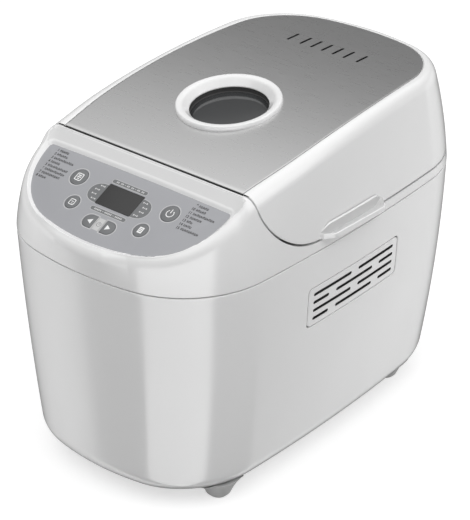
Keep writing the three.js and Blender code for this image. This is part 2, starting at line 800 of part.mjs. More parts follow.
const paint = (color, roughness, metalness = 0) => {
  return new THREE.MeshStandardMaterial({ color, roughness, metalness });
};

const WHITE_PLASTIC = paint(0xe9eaea, 0.25);
const FOOT_PLASTIC = paint(0xc9cacb, 0.5);
const MEMBRANE_FILM = paint(0xa5a8ad, 0.45);
const KEY_PLASTIC = paint(0x7d8085, 0.45);
const LENS_DARK = paint(0x404141, 0.12);
const STEEL_PLATE = paint(0xa9aaab, 0.35, 1);
const GLASS_DARK = paint(0x474b49, 0.08);
const BLACK_PLASTIC = paint(0x222324, 0.5);
const GALVANISED = paint(0xb2b5b6, 0.4, 1);
const NON_STICK = paint(0x3a3b3c, 0.5, 0.3);
const ALUMINIUM = paint(0xc4c6c8, 0.35, 1);
const HEATER_STEEL = paint(0x5a4f48, 0.45, 1);
const SILICONE = paint(0xc8c6c0, 0.7);
const BOARD_GREEN = paint(0x2f6b45, 0.5);
const BELT_RUBBER = paint(0x1b1b1b, 0.8);
const PIN_STEEL = paint(0x9a9c9e, 0.3, 1);

// ---------------------------------------------------------------------------------------------
// Assembly
// ---------------------------------------------------------------------------------------------

const breadMachine = new THREE.Group();

// Pieces on the console are built in the slope's own axes and stand in this group.
const console3d = new THREE.Group();
console3d.position.set(0, PANEL_Y, PANEL_Z);
console3d.rotation.x = PANEL_TILT;
breadMachine.add(console3d);

function addPiece(name, manifold, material, parent = breadMachine) {
  const mesh = new THREE.Mesh(geometryOf(manifold), material);
  mesh.name = name;
  parent.add(mesh);
}

// A solid built in the slope's axes, as it stands in the body's axes.
function onConsole(manifold) {
  const geometry = geometryOf(manifold);
  geometry.rotateX(PANEL_TILT);
  geometry.translate(0, PANEL_Y, PANEL_Z);
  return solid(geometry);
}

// ---------------------------------------------------------------------------------------------
// Side grilles: slotted inserts that follow the body's wall
// ---------------------------------------------------------------------------------------------

const GRILLE_Y = FRONT_Y + GRILLE_FROM_FRONT;
const GRILLE_Z = SEAM_Z - GRILLE_BELOW_SEAM;

// Rounded block through one side wall, width along Y and height along Z.
function sideBlock(side, y, z, width, height, r, steps = 4) {
  const outline = roundedRect(width, height, r, y, z, steps);
  const [x0, x1] = side > 0 ? [BODY_HALF_WIDTH / 2, FAR] : [-FAR, -BODY_HALF_WIDTH / 2];
  return sideProfile(outline, x0, x1);
}

// Slots alternate: two long ones in one row, then a short, a long and a short one.
function grilleSlots(side) {
  const short = (GRILLE_SPAN - GRILLE_LONG_SLOT - 2 * GRILLE_SLOT_SPACE) / 2;
  const slots = [];
  for (let row = 0; row < GRILLE_ROWS; row += 1) {
    const z = GRILLE_Z + ((GRILLE_ROWS - 1) / 2 - row) * GRILLE_ROW_PITCH;
    const lengths = row % 2 === 0 ? [GRILLE_LONG_SLOT, GRILLE_LONG_SLOT] : [short, GRILLE_LONG_SLOT, short];
    const total = lengths.reduce((sum, l) => sum + l, 0) + GRILLE_SLOT_SPACE * (lengths.length - 1);
    let y = GRILLE_Y - total / 2;
    for (const length of lengths) {
      slots.push(sideBlock(side, y + length / 2, z, length, GRILLE_SLOT_HEIGHT, GRILLE_SLOT_HEIGHT / 2.5, 1));
      y += length + GRILLE_SLOT_SPACE;
    }
  }
  return slots;
}

const bodyOuter = bodyBelowSeam(0);
const bodyInner = bodyBelowSeam(WALL);

for (const [name, side] of [['side_grille_right', 1], ['side_grille_left', -1]]) {
  const block = sideBlock(side, GRILLE_Y, GRILLE_Z, GRILLE_LENGTH, GRILLE_HEIGHT, GRILLE_CORNER_R);
  const wall = cut(common(bodyOuter, block), bodyInner);
  addPiece(name, cut(wall, ...grilleSlots(side)), WHITE_PLASTIC);
}

// ---------------------------------------------------------------------------------------------
// Lower shell, base plate, feet, screws and mains gland
// ---------------------------------------------------------------------------------------------

const baseOutline = (inset) => bodyRing(1, BOTTOM_ROUND + inset, 0);
const plan = (ring) => ring.map((p) => new THREE.Vector2(p.x, p.y));

const pegAt = (x, y) => [x - Math.sign(x) * FOOT_PEG_IN, y];

const footPlaces = [
  ['foot_front_right', FOOT_FRONT_X, FRONT_Y + FOOT_FRONT_FROM_FRONT],
  ['foot_front_left', -FOOT_FRONT_X, FRONT_Y + FOOT_FRONT_FROM_FRONT],
  ['foot_rear_right', FOOT_REAR_X, REAR_Y - FOOT_REAR_FROM_REAR],
  ['foot_rear_left', -FOOT_REAR_X, REAR_Y - FOOT_REAR_FROM_REAR],
];

// Screws stand in the ledge, on the base plate's own outline.
const screwRing = plan(baseOutline(SCREW_INSET));
const screwAt = (i) => [screwRing[i].x, screwRing[i].y];
const frontScrew = FRONT_STEPS + Math.floor(CORNER_STEPS / 2);
const rearScrew = FRONT_STEPS + CORNER_STEPS + SIDE_STEPS + Math.ceil(CORNER_STEPS / 2);
const screwPlaces = [
  ['base_screw_front_right', ...screwAt(frontScrew)],
  ['base_screw_front_left', ...screwAt(screwRing.length - frontScrew)],
  ['base_screw_rear_right', ...screwAt(rearScrew)],
  ['base_screw_rear_left', ...screwAt(screwRing.length - rearScrew)],
];

function lowerShell() {
  const inner = bodyRings(WALL, SEAM_Z - GAP).reverse();
  const ledge = baseOutline(BASE_LIP);
  const flatEdge = baseOutline(0);
  const at = (ring, z) => ring.map((p) => new THREE.Vector3(p.x, p.y, z));
  const shell = loft([
    ...bodyRings(0, SEAM_Z - GAP),
    at(flatEdge, LIP_Z),
    at(ledge, LIP_Z),
    at(ledge, LIP_Z + BASE_LIP_THICK),
    at(baseOutline(0), LIP_Z + BASE_LIP_THICK),
    ...inner.slice(1),
  ], true);
  const windows = [1, -1].map((side) => {
    const [length, height] = [GRILLE_LENGTH + 2 * GAP, GRILLE_HEIGHT + 2 * GAP];
    return sideBlock(side, GRILLE_Y, GRILLE_Z, length, height, GRILLE_CORNER_R + GAP);
  });
  const glandHole = bolt(GLAND_X, 0, FAR, GLAND_Z, GLAND_R + GAP);
  const screwHoles = screwPlaces.map(([, x, y]) => post(x, y, 0, LIP_Z + 2 * BASE_LIP_THICK, SCREW_R + GAP));
  return cut(shell, ...windows, glandHole, ...screwHoles);
}

addPiece('lower_shell', lowerShell(), WHITE_PLASTIC);

const BASE_SLOT_LENGTH = 44;
const BASE_SLOT_WIDTH = 4;
const BASE_SLOT_PITCH = 12;
const BASE_SLOTS = 4;

function basePlate() {
  const plate = prism(plan(baseOutline(GAP)), BODY_BOTTOM_Z, BASE_TOP_Z);
  const pegHoles = footPlaces.map(([, x, y]) => post(...pegAt(x, y), 0, FAR, FOOT_PEG_R + GAP));
  const screwHoles = screwPlaces.map(([, x, y]) => join(
    post(x, y, 0, FAR, SCREW_R + GAP),
    post(x, y, 0, BODY_BOTTOM_Z + SCREW_HEAD_HEIGHT + 2 * GAP, SCREW_HEAD_R + GAP),
  ));
  const slots = [];
  for (let i = 0; i < BASE_SLOTS; i += 1) {
    const y = MOTOR_Y + (i - (BASE_SLOTS - 1) / 2) * BASE_SLOT_PITCH;
    const outline = roundedRect(BASE_SLOT_LENGTH, BASE_SLOT_WIDTH, BASE_SLOT_WIDTH / 2.5, 0, y, 1);
    slots.push(prism(outline, 0, FAR));
  }
  const posts = powerPosts().map(([x, y]) => {
    return post(x, y, BASE_TOP_Z - GAP, BASE_TOP_Z + POWER_POST_HEIGHT, POWER_POST_R, POWER_POST_R, 12);
  });
  return join(cut(plate, ...pegHoles, ...screwHoles, ...slots), ...posts);
}

const POWER_BOARD_Y = REAR_Y - POWER_BOARD_FROM_REAR - POWER_BOARD_LENGTH / 2;

function powerPosts() {
  const [dx, dy] = [POWER_BOARD_WIDTH / 2 - 2 * POWER_POST_R, POWER_BOARD_LENGTH / 2 - 2 * POWER_POST_R];
  return [[dx, dy], [-dx, dy], [dx, -dy], [-dx, -dy]].map(([x, y]) => [x, POWER_BOARD_Y + y]);
}

addPiece('base_plate', basePlate(), BLACK_PLASTIC);

// A foot is a stub cone that fits the rounded bottom edge, with a peg in the base plate.
for (const [name, x, y] of footPlaces) {
  const rim = FOOT_BOTTOM_R * 0.8;
  const tip = post(x, y, 0, 1.5, rim, FOOT_BOTTOM_R);
  const stub = post(x, y, 1.5, BODY_BOTTOM_Z + BOTTOM_ROUND / 2, FOOT_BOTTOM_R, FOOT_TOP_R);
  const clearance = loft(bodyRings(-GAP, SEAM_Z));
  const peg = post(...pegAt(x, y), FOOT_HEIGHT - 2 * GAP, BASE_TOP_Z, FOOT_PEG_R);
  addPiece(name, join(cut(join(tip, stub), clearance), peg), FOOT_PLASTIC);
}

for (const [name, x, y] of screwPlaces) {
  const headZ = BODY_BOTTOM_Z + GAP;
  const head = post(x, y, headZ, headZ + SCREW_HEAD_HEIGHT, SCREW_HEAD_R);
  const shank = post(x, y, headZ + SCREW_HEAD_HEIGHT / 2, headZ + SCREW_LENGTH, SCREW_R);
  addPiece(name, join(head, shank), PIN_STEEL);
}

// Y of the body's rear face at the gland.
function rearFaceY(x, z) {
  const probe = common(bodyOuter, box(x - 1, x + 1, 0, FAR, z - 1, z + 1));
  return probe.boundingBox().max[1];
}

function mainsGland() {
  const face = rearFaceY(GLAND_X, GLAND_Z);
  const barrel = bolt(GLAND_X, face - GLAND_LENGTH, face + 1, GLAND_Z, GLAND_R);
  const disc = bolt(GLAND_X, face - GLAND_LENGTH / 2, face + GLAND_COLLAR, GLAND_Z, GLAND_R + GLAND_FLANGE);
  const collar = cut(disc, loft(bodyRings(-GAP, SEAM_Z)));
  const bore = bolt(GLAND_X, 0, FAR, GLAND_Z, GLAND_BORE_R, SMALL_ROUND);
  return cut(join(barrel, collar), bore);
}

addPiece('mains_gland', mainsGland(), BLACK_PLASTIC);

// ---------------------------------------------------------------------------------------------
// Upper housing: rim, deck round the chamber, and console
// ---------------------------------------------------------------------------------------------

const MEMBRANE = {
  halfWidth: MEMBRANE_HALF_WIDTH,
  widestY: MEMBRANE_UP - 9,
  sideR: 289,
  frontY: -MEMBRANE_DOWN,
  frontR: MEMBRANE_FRONT_R,
  frontCornerR: MEMBRANE_CORNER_R,
  rearY: MEMBRANE_UP,
  rearR: 4000,
  rearCornerR: MEMBRANE_TOP_CORNER_R,
};

// Recess for the membrane: a flat floor, low sloping sides and a long slope up to the lid's edge.
function consoleRecess() {
  const floor = arcOutline(shrunk(MEMBRANE, -GAP));
  const lipY = CONSOLE_REAR_Y - CONSOLE_REAR_WALL + 0.7;
  const [dy, dz] = [lipY - PANEL_Y, crownZ(lipY) + 1 - PANEL_Z];
  const rearUp = dy * Math.cos(PANEL_TILT) + dz * Math.sin(PANEL_TILT);
  const rise = dz * Math.cos(PANEL_TILT) - dy * Math.sin(PANEL_TILT);
  const mouthTop = { rearY: rearUp, rearCornerR: MEMBRANE_TOP_CORNER_R + 3 };
  const mouth = arcOutline({ ...shrunk(MEMBRANE, -rise), ...mouthTop });
  return onConsole(loft([atHeight(floor, -MEMBRANE_THICK - GAP), atHeight(floor, 0), atHeight(mouth, rise)]));
}

// Everything above the slope lowered by drop.
function aboveSlope(drop) {
  return onConsole(box(-FAR, FAR, -FAR, FAR, -drop, FAR));
}

// Prism over the deck, open to the console's rear wall, inset from the crown.
function deckPrism(inset, frontY, z0, z1) {
  return cut(prism(arcOutline(shrunk(CROWN, inset)), z0, z1), box(-FAR, FAR, -FAR, frontY, -FAR, FAR));
}

const keyPlaces = [
  { name: 'key_menu', x: -BIG_KEY_X, up: BIG_KEY_UP, r: BIG_KEY_R },
  { name: 'key_start_stop', x: BIG_KEY_X, up: BIG_KEY_UP, r: BIG_KEY_R },
  { name: 'key_crust', x: -SMALL_KEY_X, up: SMALL_KEY_UP, r: SMALL_KEY_R },
  { name: 'key_loaf', x: SMALL_KEY_X, up: SMALL_KEY_UP, r: SMALL_KEY_R },
  { name: 'key_less', x: -ARROW_KEY_X, up: ARROW_KEY_UP, r: ARROW_KEY_R, arrow: -1 },
  { name: 'key_more', x: ARROW_KEY_X, up: ARROW_KEY_UP, r: ARROW_KEY_R, arrow: 1 },
];

// A key's outline: a disc, or on an arrow key a half disc with a straight inner end.
function keyOutline(key, grow) {
  const r = key.r + grow;
  const points = [];
  if (!key.arrow) {
    for (let i = 0; i < KEY_ROUND; i += 1) {
      const a = (2 * Math.PI * i) / KEY_ROUND;
      points.push(new THREE.Vector2(key.x + r * Math.cos(a), key.up + r * Math.sin(a)));
    }
    return points;
  }
  const steps = KEY_ROUND / 2;
  for (let i = 0; i <= steps; i += 1) {
    const a = -Math.PI / 2 + (Math.PI * i) / steps;
    points.push(new THREE.Vector2(key.x + key.arrow * r * Math.cos(a), key.up + r * Math.sin(a)));
  }
  const inner = key.x - key.arrow * (ARROW_KEY_STRAIGHT + grow);
  points.push(new THREE.Vector2(inner, key.up + r), new THREE.Vector2(inner, key.up - r));
  return key.arrow > 0 ? points : points.reverse();
}

const PANEL_UNDER = -(MEMBRANE_THICK + GAP + PANEL_THICK);     // along the slope's normal
const BOARD_TOP = PANEL_UNDER - BOARD_DROP;

function boardPosts() {
  const [dx, dy] = [BOARD_WIDTH / 2 - BOARD_POST_INSET, BOARD_LENGTH / 2 - BOARD_POST_INSET];
  return [[dx, dy], [-dx, dy], [dx, -dy], [-dx, -dy]].map(([x, y]) => [x, y + BOARD_UP]);
}

const BOARD_UP = -6;                // middle of the control board, along the slope

function consoleHoles() {
  const display = prism(roundedRect(DISPLAY_WIDTH + 2 * GAP, DISPLAY_HEIGHT + 2 * GAP, 1), -FAR / 10, FAR / 10);
  const keys = keyPlaces.map((key) => prism(keyOutline(key, KEY_GAP), -FAR / 10, FAR / 10));
  return [display, ...keys];
}

// Hinge lugs stand on the rim each side of the lid's knuckles.
function hingeLugs(grow = 0) {
  const lugs = [];
  for (const side of [1, -1]) {
    for (const end of [1, -1]) {
      const middle = side * HINGE_X + end * (HINGE_KNUCKLE / 2 + HINGE_LUG / 2 + PARTING_GAP);
      const [x0, x1] = [middle - HINGE_LUG / 2 - grow, middle + HINGE_LUG / 2 + grow];
      const barrel = rod(x0, x1, HINGE_Y, HINGE_Z, HINGE_BARREL_R + grow);
      const webY = HINGE_Y - 3 * HINGE_BARREL_R - grow;
      const web = box(x0, x1, webY, HINGE_Y + HINGE_BARREL_R / 2, RIM_Z - WALL / 2, HINGE_Z + grow);
      lugs.push(join(barrel, web));
    }
  }
  return lugs;
}

// Room in the rim for the lid's knuckles to turn.
function knuckleRoom() {
  return [1, -1].map((side) => {
    const reach = HINGE_KNUCKLE / 2 + PARTING_GAP;
    return rod(side * HINGE_X - reach, side * HINGE_X + reach, HINGE_Y, HINGE_Z, HINGE_BARREL_R + PARTING_GAP);
  });
}

function upperHousing() {
  const skin = cut(skinAboveSeam(0), lidRegion(0));
  const keep = [
    lidRegion(-WALL),
    deckPrism(POCKET_INSET - WALL, CONSOLE_REAR_Y - CONSOLE_REAR_WALL, DECK_UNDER_Z, FAR),
    aboveSlope(-PANEL_UNDER),
  ];
  const cavity = cut(skinAboveSeam(WALL, SEAM_Z - 1), ...keep);
  const pocket = deckPrism(POCKET_INSET, CONSOLE_REAR_Y, DECK_Z, FAR);
  const mouth = prism(roundedRect(CHAMBER_WIDTH, CHAMBER_LENGTH, CHAMBER_CORNER_R, 0, CHAMBER_Y), 0, FAR);
  const posts = boardPosts().map(([x, up]) => {
    return onConsole(post(x, up, BOARD_TOP + GAP, PANEL_UNDER + 1, BOARD_POST_R, BOARD_POST_R, 12));
  });
  const body = join(cut(skin, cavity, pocket, mouth), ...posts, ...hingeLugs());
  const pinHoles = rod(-FAR, FAR, HINGE_Y, HINGE_Z, HINGE_PIN_R + GAP);
  return cut(body, consoleRecess(), ...consoleHoles().map(onConsole), ...knuckleRoom(), pinHoles);
}

addPiece('upper_housing', upperHousing(), WHITE_PLASTIC);

// ---------------------------------------------------------------------------------------------
// Console: membrane, display, keys and control board
// ---------------------------------------------------------------------------------------------

addPiece(
  'control_membrane',
  cut(prism(arcOutline(MEMBRANE), -MEMBRANE_THICK, 0), ...consoleHoles()),
  MEMBRANE_FILM,
  console3d,
);

addPiece(
  'display_lens',
  prism(roundedRect(DISPLAY_WIDTH, DISPLAY_HEIGHT, 1), -DISPLAY_LENS_THICK, 0),
  LENS_DARK,
  console3d,
);

const MODULE_MARGIN = 4;

// The display module stands on the board, with its glass under the lens.
function displayModule() {
  const [w, h] = [DISPLAY_WIDTH + 2 * MODULE_MARGIN, DISPLAY_HEIGHT + MODULE_MARGIN];
  const bezel = prism(roundedRect(w, h, 1), BOARD_TOP + GAP, PANEL_UNDER - GAP);
  const face = prism(
    roundedRect(DISPLAY_WIDTH - GAP, DISPLAY_HEIGHT - GAP, 1),
    BOARD_TOP + 2 * GAP,
    -DISPLAY_LENS_THICK - GAP,
  );
  return join(bezel, face);
}

addPiece('display_module', displayModule(), BLACK_PLASTIC, console3d);

// A key: cap through the panel, flange under it, and a stem above its switch.
for (const key of keyPlaces) {
  const flangeTop = PANEL_UNDER - GAP;
  const flangeZ = flangeTop - KEY_FLANGE_THICK;
  const stemZ = BOARD_TOP + GAP + KEY_TRAVEL;
  const piece = join(
    prism(keyOutline(key, 0), flangeZ + GAP, KEY_PROUD),
    prism(keyOutline(key, KEY_FLANGE), flangeZ, flangeTop),
    post(key.x, key.up, stemZ, flangeZ + GAP, KEY_STEM_R, KEY_STEM_R, 12),
  );
  addPiece(key.name, piece, KEY_PLASTIC, console3d);
}

addPiece(
  'control_board',
  prism(roundedRect(BOARD_WIDTH, BOARD_LENGTH, 2, 0, BOARD_UP, 1), BOARD_TOP - BOARD_THICK, BOARD_TOP),
  BOARD_GREEN,
  console3d,
);

// ---------------------------------------------------------------------------------------------
// Lid: shell with grips, steel plate, window, frame, liner and seal
// ---------------------------------------------------------------------------------------------

const windowTilt = Math.asin((ARCH_TOP_Y - WINDOW_Y) / ARCH_R);

// A solid turned about the window's axis, as it stands in the arch.
function atWindow(manifold) {
  const geometry = geometryOf(manifold);
  geometry.rotateX(windowTilt);
  geometry.translate(0, WINDOW_Y, archZ(WINDOW_Y));
  return solid(geometry);
}

const windowHole = (r) => atWindow(post(0, 0, -FAR / 5, FAR / 5, r, r, ROUND));

function plateOutline(grow) {
  return arcOutline(shrunk(PLATE, -grow));
}

function platePrism(grow) {
  const front = CONSOLE_REAR_Y + PARTING_GAP - (grow > 0 ? FAR : 0);
  return cut(prism(plateOutline(grow), 0, FAR), box(-FAR, FAR, -FAR, front, -FAR, FAR));
}

const SLOT_Y = REAR_Y - SLOT_FROM_REAR;

function slotPlaces() {
  const places = [0];
  for (let i = 1; i <= SLOT_COUNT_EACH_SIDE; i += 1) {
    places.push(i * SLOT_PITCH, -i * SLOT_PITCH);
  }
  const outer = SLOT_COUNT_EACH_SIDE * SLOT_PITCH + SLOT_OUTER_PITCH;
  return [...places, outer, -outer];
}

function steamSlots(grow) {
  return slotPlaces().map((x) => {
    const [w, l] = [SLOT_WIDTH + 2 * grow, SLOT_LENGTH + 2 * grow];
    return prism(roundedRect(w, l, w / 2.5, x, SLOT_Y, 1), 0, FAR);
  });
}

function lidPlate() {
  const sheet = cut(common(platePrism(0), belowArch(0)), belowArch(PLATE_THICK));
  return cut(sheet, windowHole(BEZEL_NECK_R + GAP), ...steamSlots(0));
}

addPiece('lid_plate', lidPlate(), STEEL_PLATE);

// Grip: a tab on the lid's lower edge with slanting ends, hollowed above for the fingers.
function grip(side) {
  const y = FRONT_Y + GRIP_FROM_FRONT;
  const wallX = BODY_HALF_WIDTH;
  const [inner, outer] = [wallX - 3 * LID_WALL, wallX + GRIP_REACH];
  const slope = (GRIP_LENGTH - GRIP_OUTER_LENGTH) / 2 / GRIP_REACH;
  const halfInner = GRIP_OUTER_LENGTH / 2 + slope * (outer - inner);
  const outline = [
    new THREE.Vector2(inner, y - halfInner),
    new THREE.Vector2(outer, y - GRIP_OUTER_LENGTH / 2),
    new THREE.Vector2(outer, y + GRIP_OUTER_LENGTH / 2),
    new THREE.Vector2(inner, y + halfInner),
  ].map((p) => new THREE.Vector2(side * p.x, p.y));
  const z = RIM_Z + PARTING_GAP;
  return prism(side > 0 ? outline : outline.reverse(), z, z + GRIP_THICK);
}

// The lid's knuckles close the barrel between the housing's lugs.
function knuckles() {
  return [1, -1].map((side) => {
    const [x0, x1] = [side * HINGE_X - HINGE_KNUCKLE / 2, side * HINGE_X + HINGE_KNUCKLE / 2];
    const barrel = rod(x0, x1, HINGE_Y, HINGE_Z, HINGE_BARREL_R);
    const gusset = sideProfile([
      new THREE.Vector2(HINGE_Y - 3 * HINGE_BARREL_R, HINGE_Z),
      new THREE.Vector2(HINGE_Y + HINGE_BARREL_R / 2, HINGE_Z),
      new THREE.Vector2(HINGE_Y, HINGE_Z + HINGE_BARREL_R),
      new THREE.Vector2(HINGE_Y - 3 * HINGE_BARREL_R, HINGE_Z + 4 * HINGE_BARREL_R),
    ], x0, x1);
    return join(barrel, gusset);
  });
}

function lidShell() {
  const region = lidRegion(PARTING_GAP);
  const outer = join(common(skinAboveSeam(0), region), grip(1), grip(-1), ...knuckles());
  const ceiling = PLATE_THICK + GAP + LID_WALL;
  const front = box(-FAR, FAR, -FAR, CONSOLE_REAR_Y + PARTING_GAP + LID_WALL, -FAR, FAR);
  const cavity = cut(common(skinAboveSeam(LID_WALL, SEAM_Z - 1), belowArch(ceiling)), front);
  const seat = cut(platePrism(GAP), belowArch(PLATE_THICK + GAP));
  const vent = prism(roundedRect(2 * slotPlaces().at(-2) + 6, SLOT_LENGTH + 4, 3, 0, SLOT_Y, 2), 0, FAR);
  const pinHole = rod(-FAR, FAR, HINGE_Y, HINGE_Z, HINGE_PIN_R + GAP);
  return cut(outer, cavity, seat, vent, windowHole(BEZEL_NECK_R + GAP), ...hingeLugs(PARTING_GAP), pinHole);
}

addPiece('lid_shell', lidShell(), WHITE_PLASTIC);

for (const [name, side] of [['hinge_pin_right', 1], ['hinge_pin_left', -1]]) {
  const reach = HINGE_KNUCKLE / 2 + HINGE_LUG + PARTING_GAP;
  const [x0, x1] = [side * HINGE_X - reach, side * HINGE_X + reach];
  addPiece(name, rod(x0, x1, HINGE_Y, HINGE_Z, HINGE_PIN_R, 16), PIN_STEEL);
}

// Window bezel: a rounded lip on the plate, a funnel to the throat, and a neck that holds the glass.
const GLASS_TOP = -BEZEL_THROAT_DEPTH - GAP;
const GLASS_SEAT_R = BEZEL_NECK_R - 1.2;

function windowBezel() {
  const profile = [
    [BEZEL_THROAT_R, -BEZEL_FUNNEL_DEPTH],
    [BEZEL_R - BEZEL_LIP, BEZEL_HEIGHT - 0.4],
    [BEZEL_R - BEZEL_LIP / 2, BEZEL_HEIGHT],
    [BEZEL_R - 0.6, BEZEL_HEIGHT * 0.55],
    [BEZEL_R, -1],
    [BEZEL_NECK_R, -1],
    [BEZEL_NECK_R, -BEZEL_NECK_DEPTH],
    [GLASS_SEAT_R, -BEZEL_NECK_DEPTH],
    [GLASS_SEAT_R, -BEZEL_THROAT_DEPTH],
    [BEZEL_THROAT_R, -BEZEL_THROAT_DEPTH],
    [BEZEL_THROAT_R, -BEZEL_FUNNEL_DEPTH],
  ];
  const plateSolid = cut(belowArch(-GAP), windowHole(BEZEL_NECK_R + 0.01));
  return cut(atWindow(turned(profile)), plateSolid);
}

addPiece('window_bezel', windowBezel(), WHITE_PLASTIC);

addPiece(
  'window_glass',
  atWindow(post(0, 0, GLASS_TOP - GLASS_THICK, GLASS_TOP, GLASS_SEAT_R - GAP, GLASS_SEAT_R - GAP, ROUND)),
  GLASS_DARK,
);

function glassRetainer() {
  const [top, low] = [GLASS_TOP - GLASS_THICK - GAP, -BEZEL_NECK_DEPTH];
  const ring = post(0, 0, low, top, GLASS_SEAT_R - GAP, GLASS_SEAT_R - GAP, ROUND);
  return atWindow(cut(ring, post(0, 0, -FAR, FAR, BEZEL_THROAT_R, BEZEL_THROAT_R, ROUND)));
}

addPiece('window_retainer', glassRetainer(), BLACK_PLASTIC);

// Inner frame: closes the lid's underside, with a ledge that follows the sweep above the housing.
const FRAME_Z = DECK_Z + 3;
const FRAME_FRONT_Y = CONSOLE_REAR_Y + PARTING_GAP + LID_WALL + GAP;
const FRAME_OUTER = POCKET_INSET + PARTING_GAP;
const LINER_MOUTH_W = CHAMBER_WIDTH + 2 * LINER_MARGIN;
const LINER_MOUTH_L = CHAMBER_LENGTH + 2 * LINER_MARGIN;

function lidFrame() {
  const inside = deckPrism(FRAME_OUTER + FRAME_WALL, FRAME_FRONT_Y + FRAME_WALL, FRAME_Z + FRAME_FLANGE, FAR);
  const walls = cut(deckPrism(FRAME_OUTER, FRAME_FRONT_Y, FRAME_Z, FRAME_Z + FRAME_RISE), inside);
  const sheet = cut(
    common(skinAboveSeam(LID_WALL + GAP), lidRegion(PARTING_GAP + GAP)),
    lidRegion(PARTING_GAP + GAP + FRAME_FLANGE),
    box(-FAR, FAR, -FAR, FRAME_FRONT_Y, -FAR, FAR),
    inside,
    prism(arcOutline(shrunk(CROWN, FRAME_OUTER + FRAME_WALL / 2)), 0, RIM_Z + PARTING_GAP),
    box(-FAR, FAR, HINGE_Y - 3 * HINGE_BARREL_R - 1, FAR, 0, FAR),
  );
  const mouth = prism(roundedRect(LINER_MOUTH_W, LINER_MOUTH_L, CHAMBER_CORNER_R, 0, CHAMBER_Y), 0, FAR);
  return cut(join(walls, sheet), mouth);
}

addPiece('lid_frame', lidFrame(), WHITE_PLASTIC);

// Liner: a pressed dome over the chamber with a flange on the frame.
const LINER_Z = FRAME_Z + FRAME_FLANGE + GAP;

function lidLiner() {
  const ring = (grow, taper, z) => {
    const [w, l] = [LINER_MOUTH_W + 2 * grow - 2 * taper, LINER_MOUTH_L + 2 * grow - 2 * taper];
    return atHeight(roundedRect(w, l, Math.max(CHAMBER_CORNER_R + grow - taper, 4), 0, CHAMBER_Y), z);
  };
  const top = LINER_Z + LINER_RISE;
  const dome = loft([
    ring(-LINER_WALL - 10, LINER_TAPER, top),
    ring(-LINER_WALL, LINER_TAPER, top - 8),
    ring(-LINER_WALL, 0, LINER_Z + LINER_WALL),
    ring(LINER_FLANGE, 0, LINER_Z + LINER_WALL),
    ring(LINER_FLANGE, 0, LINER_Z),
    ring(-2 * LINER_WALL, 0, LINER_Z),
    ring(-2 * LINER_WALL, LINER_TAPER, top - 8 - LINER_WALL / 2),
    ring(-2 * LINER_WALL - 10, LINER_TAPER, top - LINER_WALL),
  ]);
  const sight = post(0, WINDOW_Y, 0, FAR, BEZEL_THROAT_R, BEZEL_THROAT_R, ROUND);
  const vents = [-1, 0, 1].map((i) => {
    const [x, y] = [i * 2 * SLOT_LENGTH, CHAMBER_REAR_Y - LINER_VENT_FROM_REAR];
    const outline = roundedRect(SLOT_LENGTH, LINER_VENT_WIDTH, LINER_VENT_WIDTH / 2.2, x, y, 2);
    return prism(outline, 0, FAR);
  });
  return cut(dome, sight, ...vents);
}

addPiece('lid_liner', lidLiner(), GALVANISED);

function lidSeal() {
  const [w, l] = [CHAMBER_WIDTH + 2, CHAMBER_LENGTH + 2];
  const r = CHAMBER_CORNER_R + 1;
  const outline = roundedRect(w + 2 * SEAL_WIDTH, l + 2 * SEAL_WIDTH, r + SEAL_WIDTH, 0, CHAMBER_Y);
  const outer = prism(outline, DECK_Z + GAP, FRAME_Z - GAP);
  return cut(outer, prism(roundedRect(w, l, r, 0, CHAMBER_Y), 0, FAR));
}

addPiece('lid_seal', lidSeal(), SILICONE);

// ---------------------------------------------------------------------------------------------
// Chamber, heater and sensor
// ---------------------------------------------------------------------------------------------

const HEATER_Z = FLOOR_TOP_Z + HEATER_ABOVE_FLOOR;
const SENSOR_Z = FLOOR_TOP_Z + SENSOR_ABOVE_FLOOR;
const SPINDLE_BUSH_R = SPINDLE_R + GAP + SPINDLE_BUSH_WALL;

const frontWallHole = (x, z, r) => {
  return bolt(x, CHAMBER_FRONT_Y - CHAMBER_FLANGE, CHAMBER_FRONT_Y + CHAMBER_FLANGE, z, r, 12);
};

function chamber() {
  const ring = (grow, z) => {
    const outline = roundedRect(
      CHAMBER_WIDTH + 2 * grow, CHAMBER_LENGTH + 2 * grow, CHAMBER_CORNER_R + grow, 0, CHAMBER_Y,
    );
    return atHeight(outline, z);
  };
  const tub = loft([
    ring(0, FLOOR_TOP_Z),
    ring(0, CHAMBER_TOP_Z),
    ring(CHAMBER_FLANGE, CHAMBER_TOP_Z),
    ring(CHAMBER_FLANGE, CHAMBER_TOP_Z - CHAMBER_WALL),
    ring(CHAMBER_WALL, CHAMBER_TOP_Z - CHAMBER_WALL),
    ring(CHAMBER_WALL, CHAMBER_FLOOR_Z),
  ]);
  const terminals = [1, -1].map((side) => {
    return frontWallHole(side * HEATER_TERMINAL_X, HEATER_Z, HEATER_R + GAP);
  });
  const sensorHole = frontWallHole(SENSOR_X, SENSOR_Z, SENSOR_R + GAP);
  const bushHole = post(0, CHAMBER_Y, 0, FAR, SPINDLE_BUSH_R + GAP);
  return cut(tub, ...terminals, sensorHole, bushHole);
}

addPiece('oven_chamber', chamber(), GALVANISED);

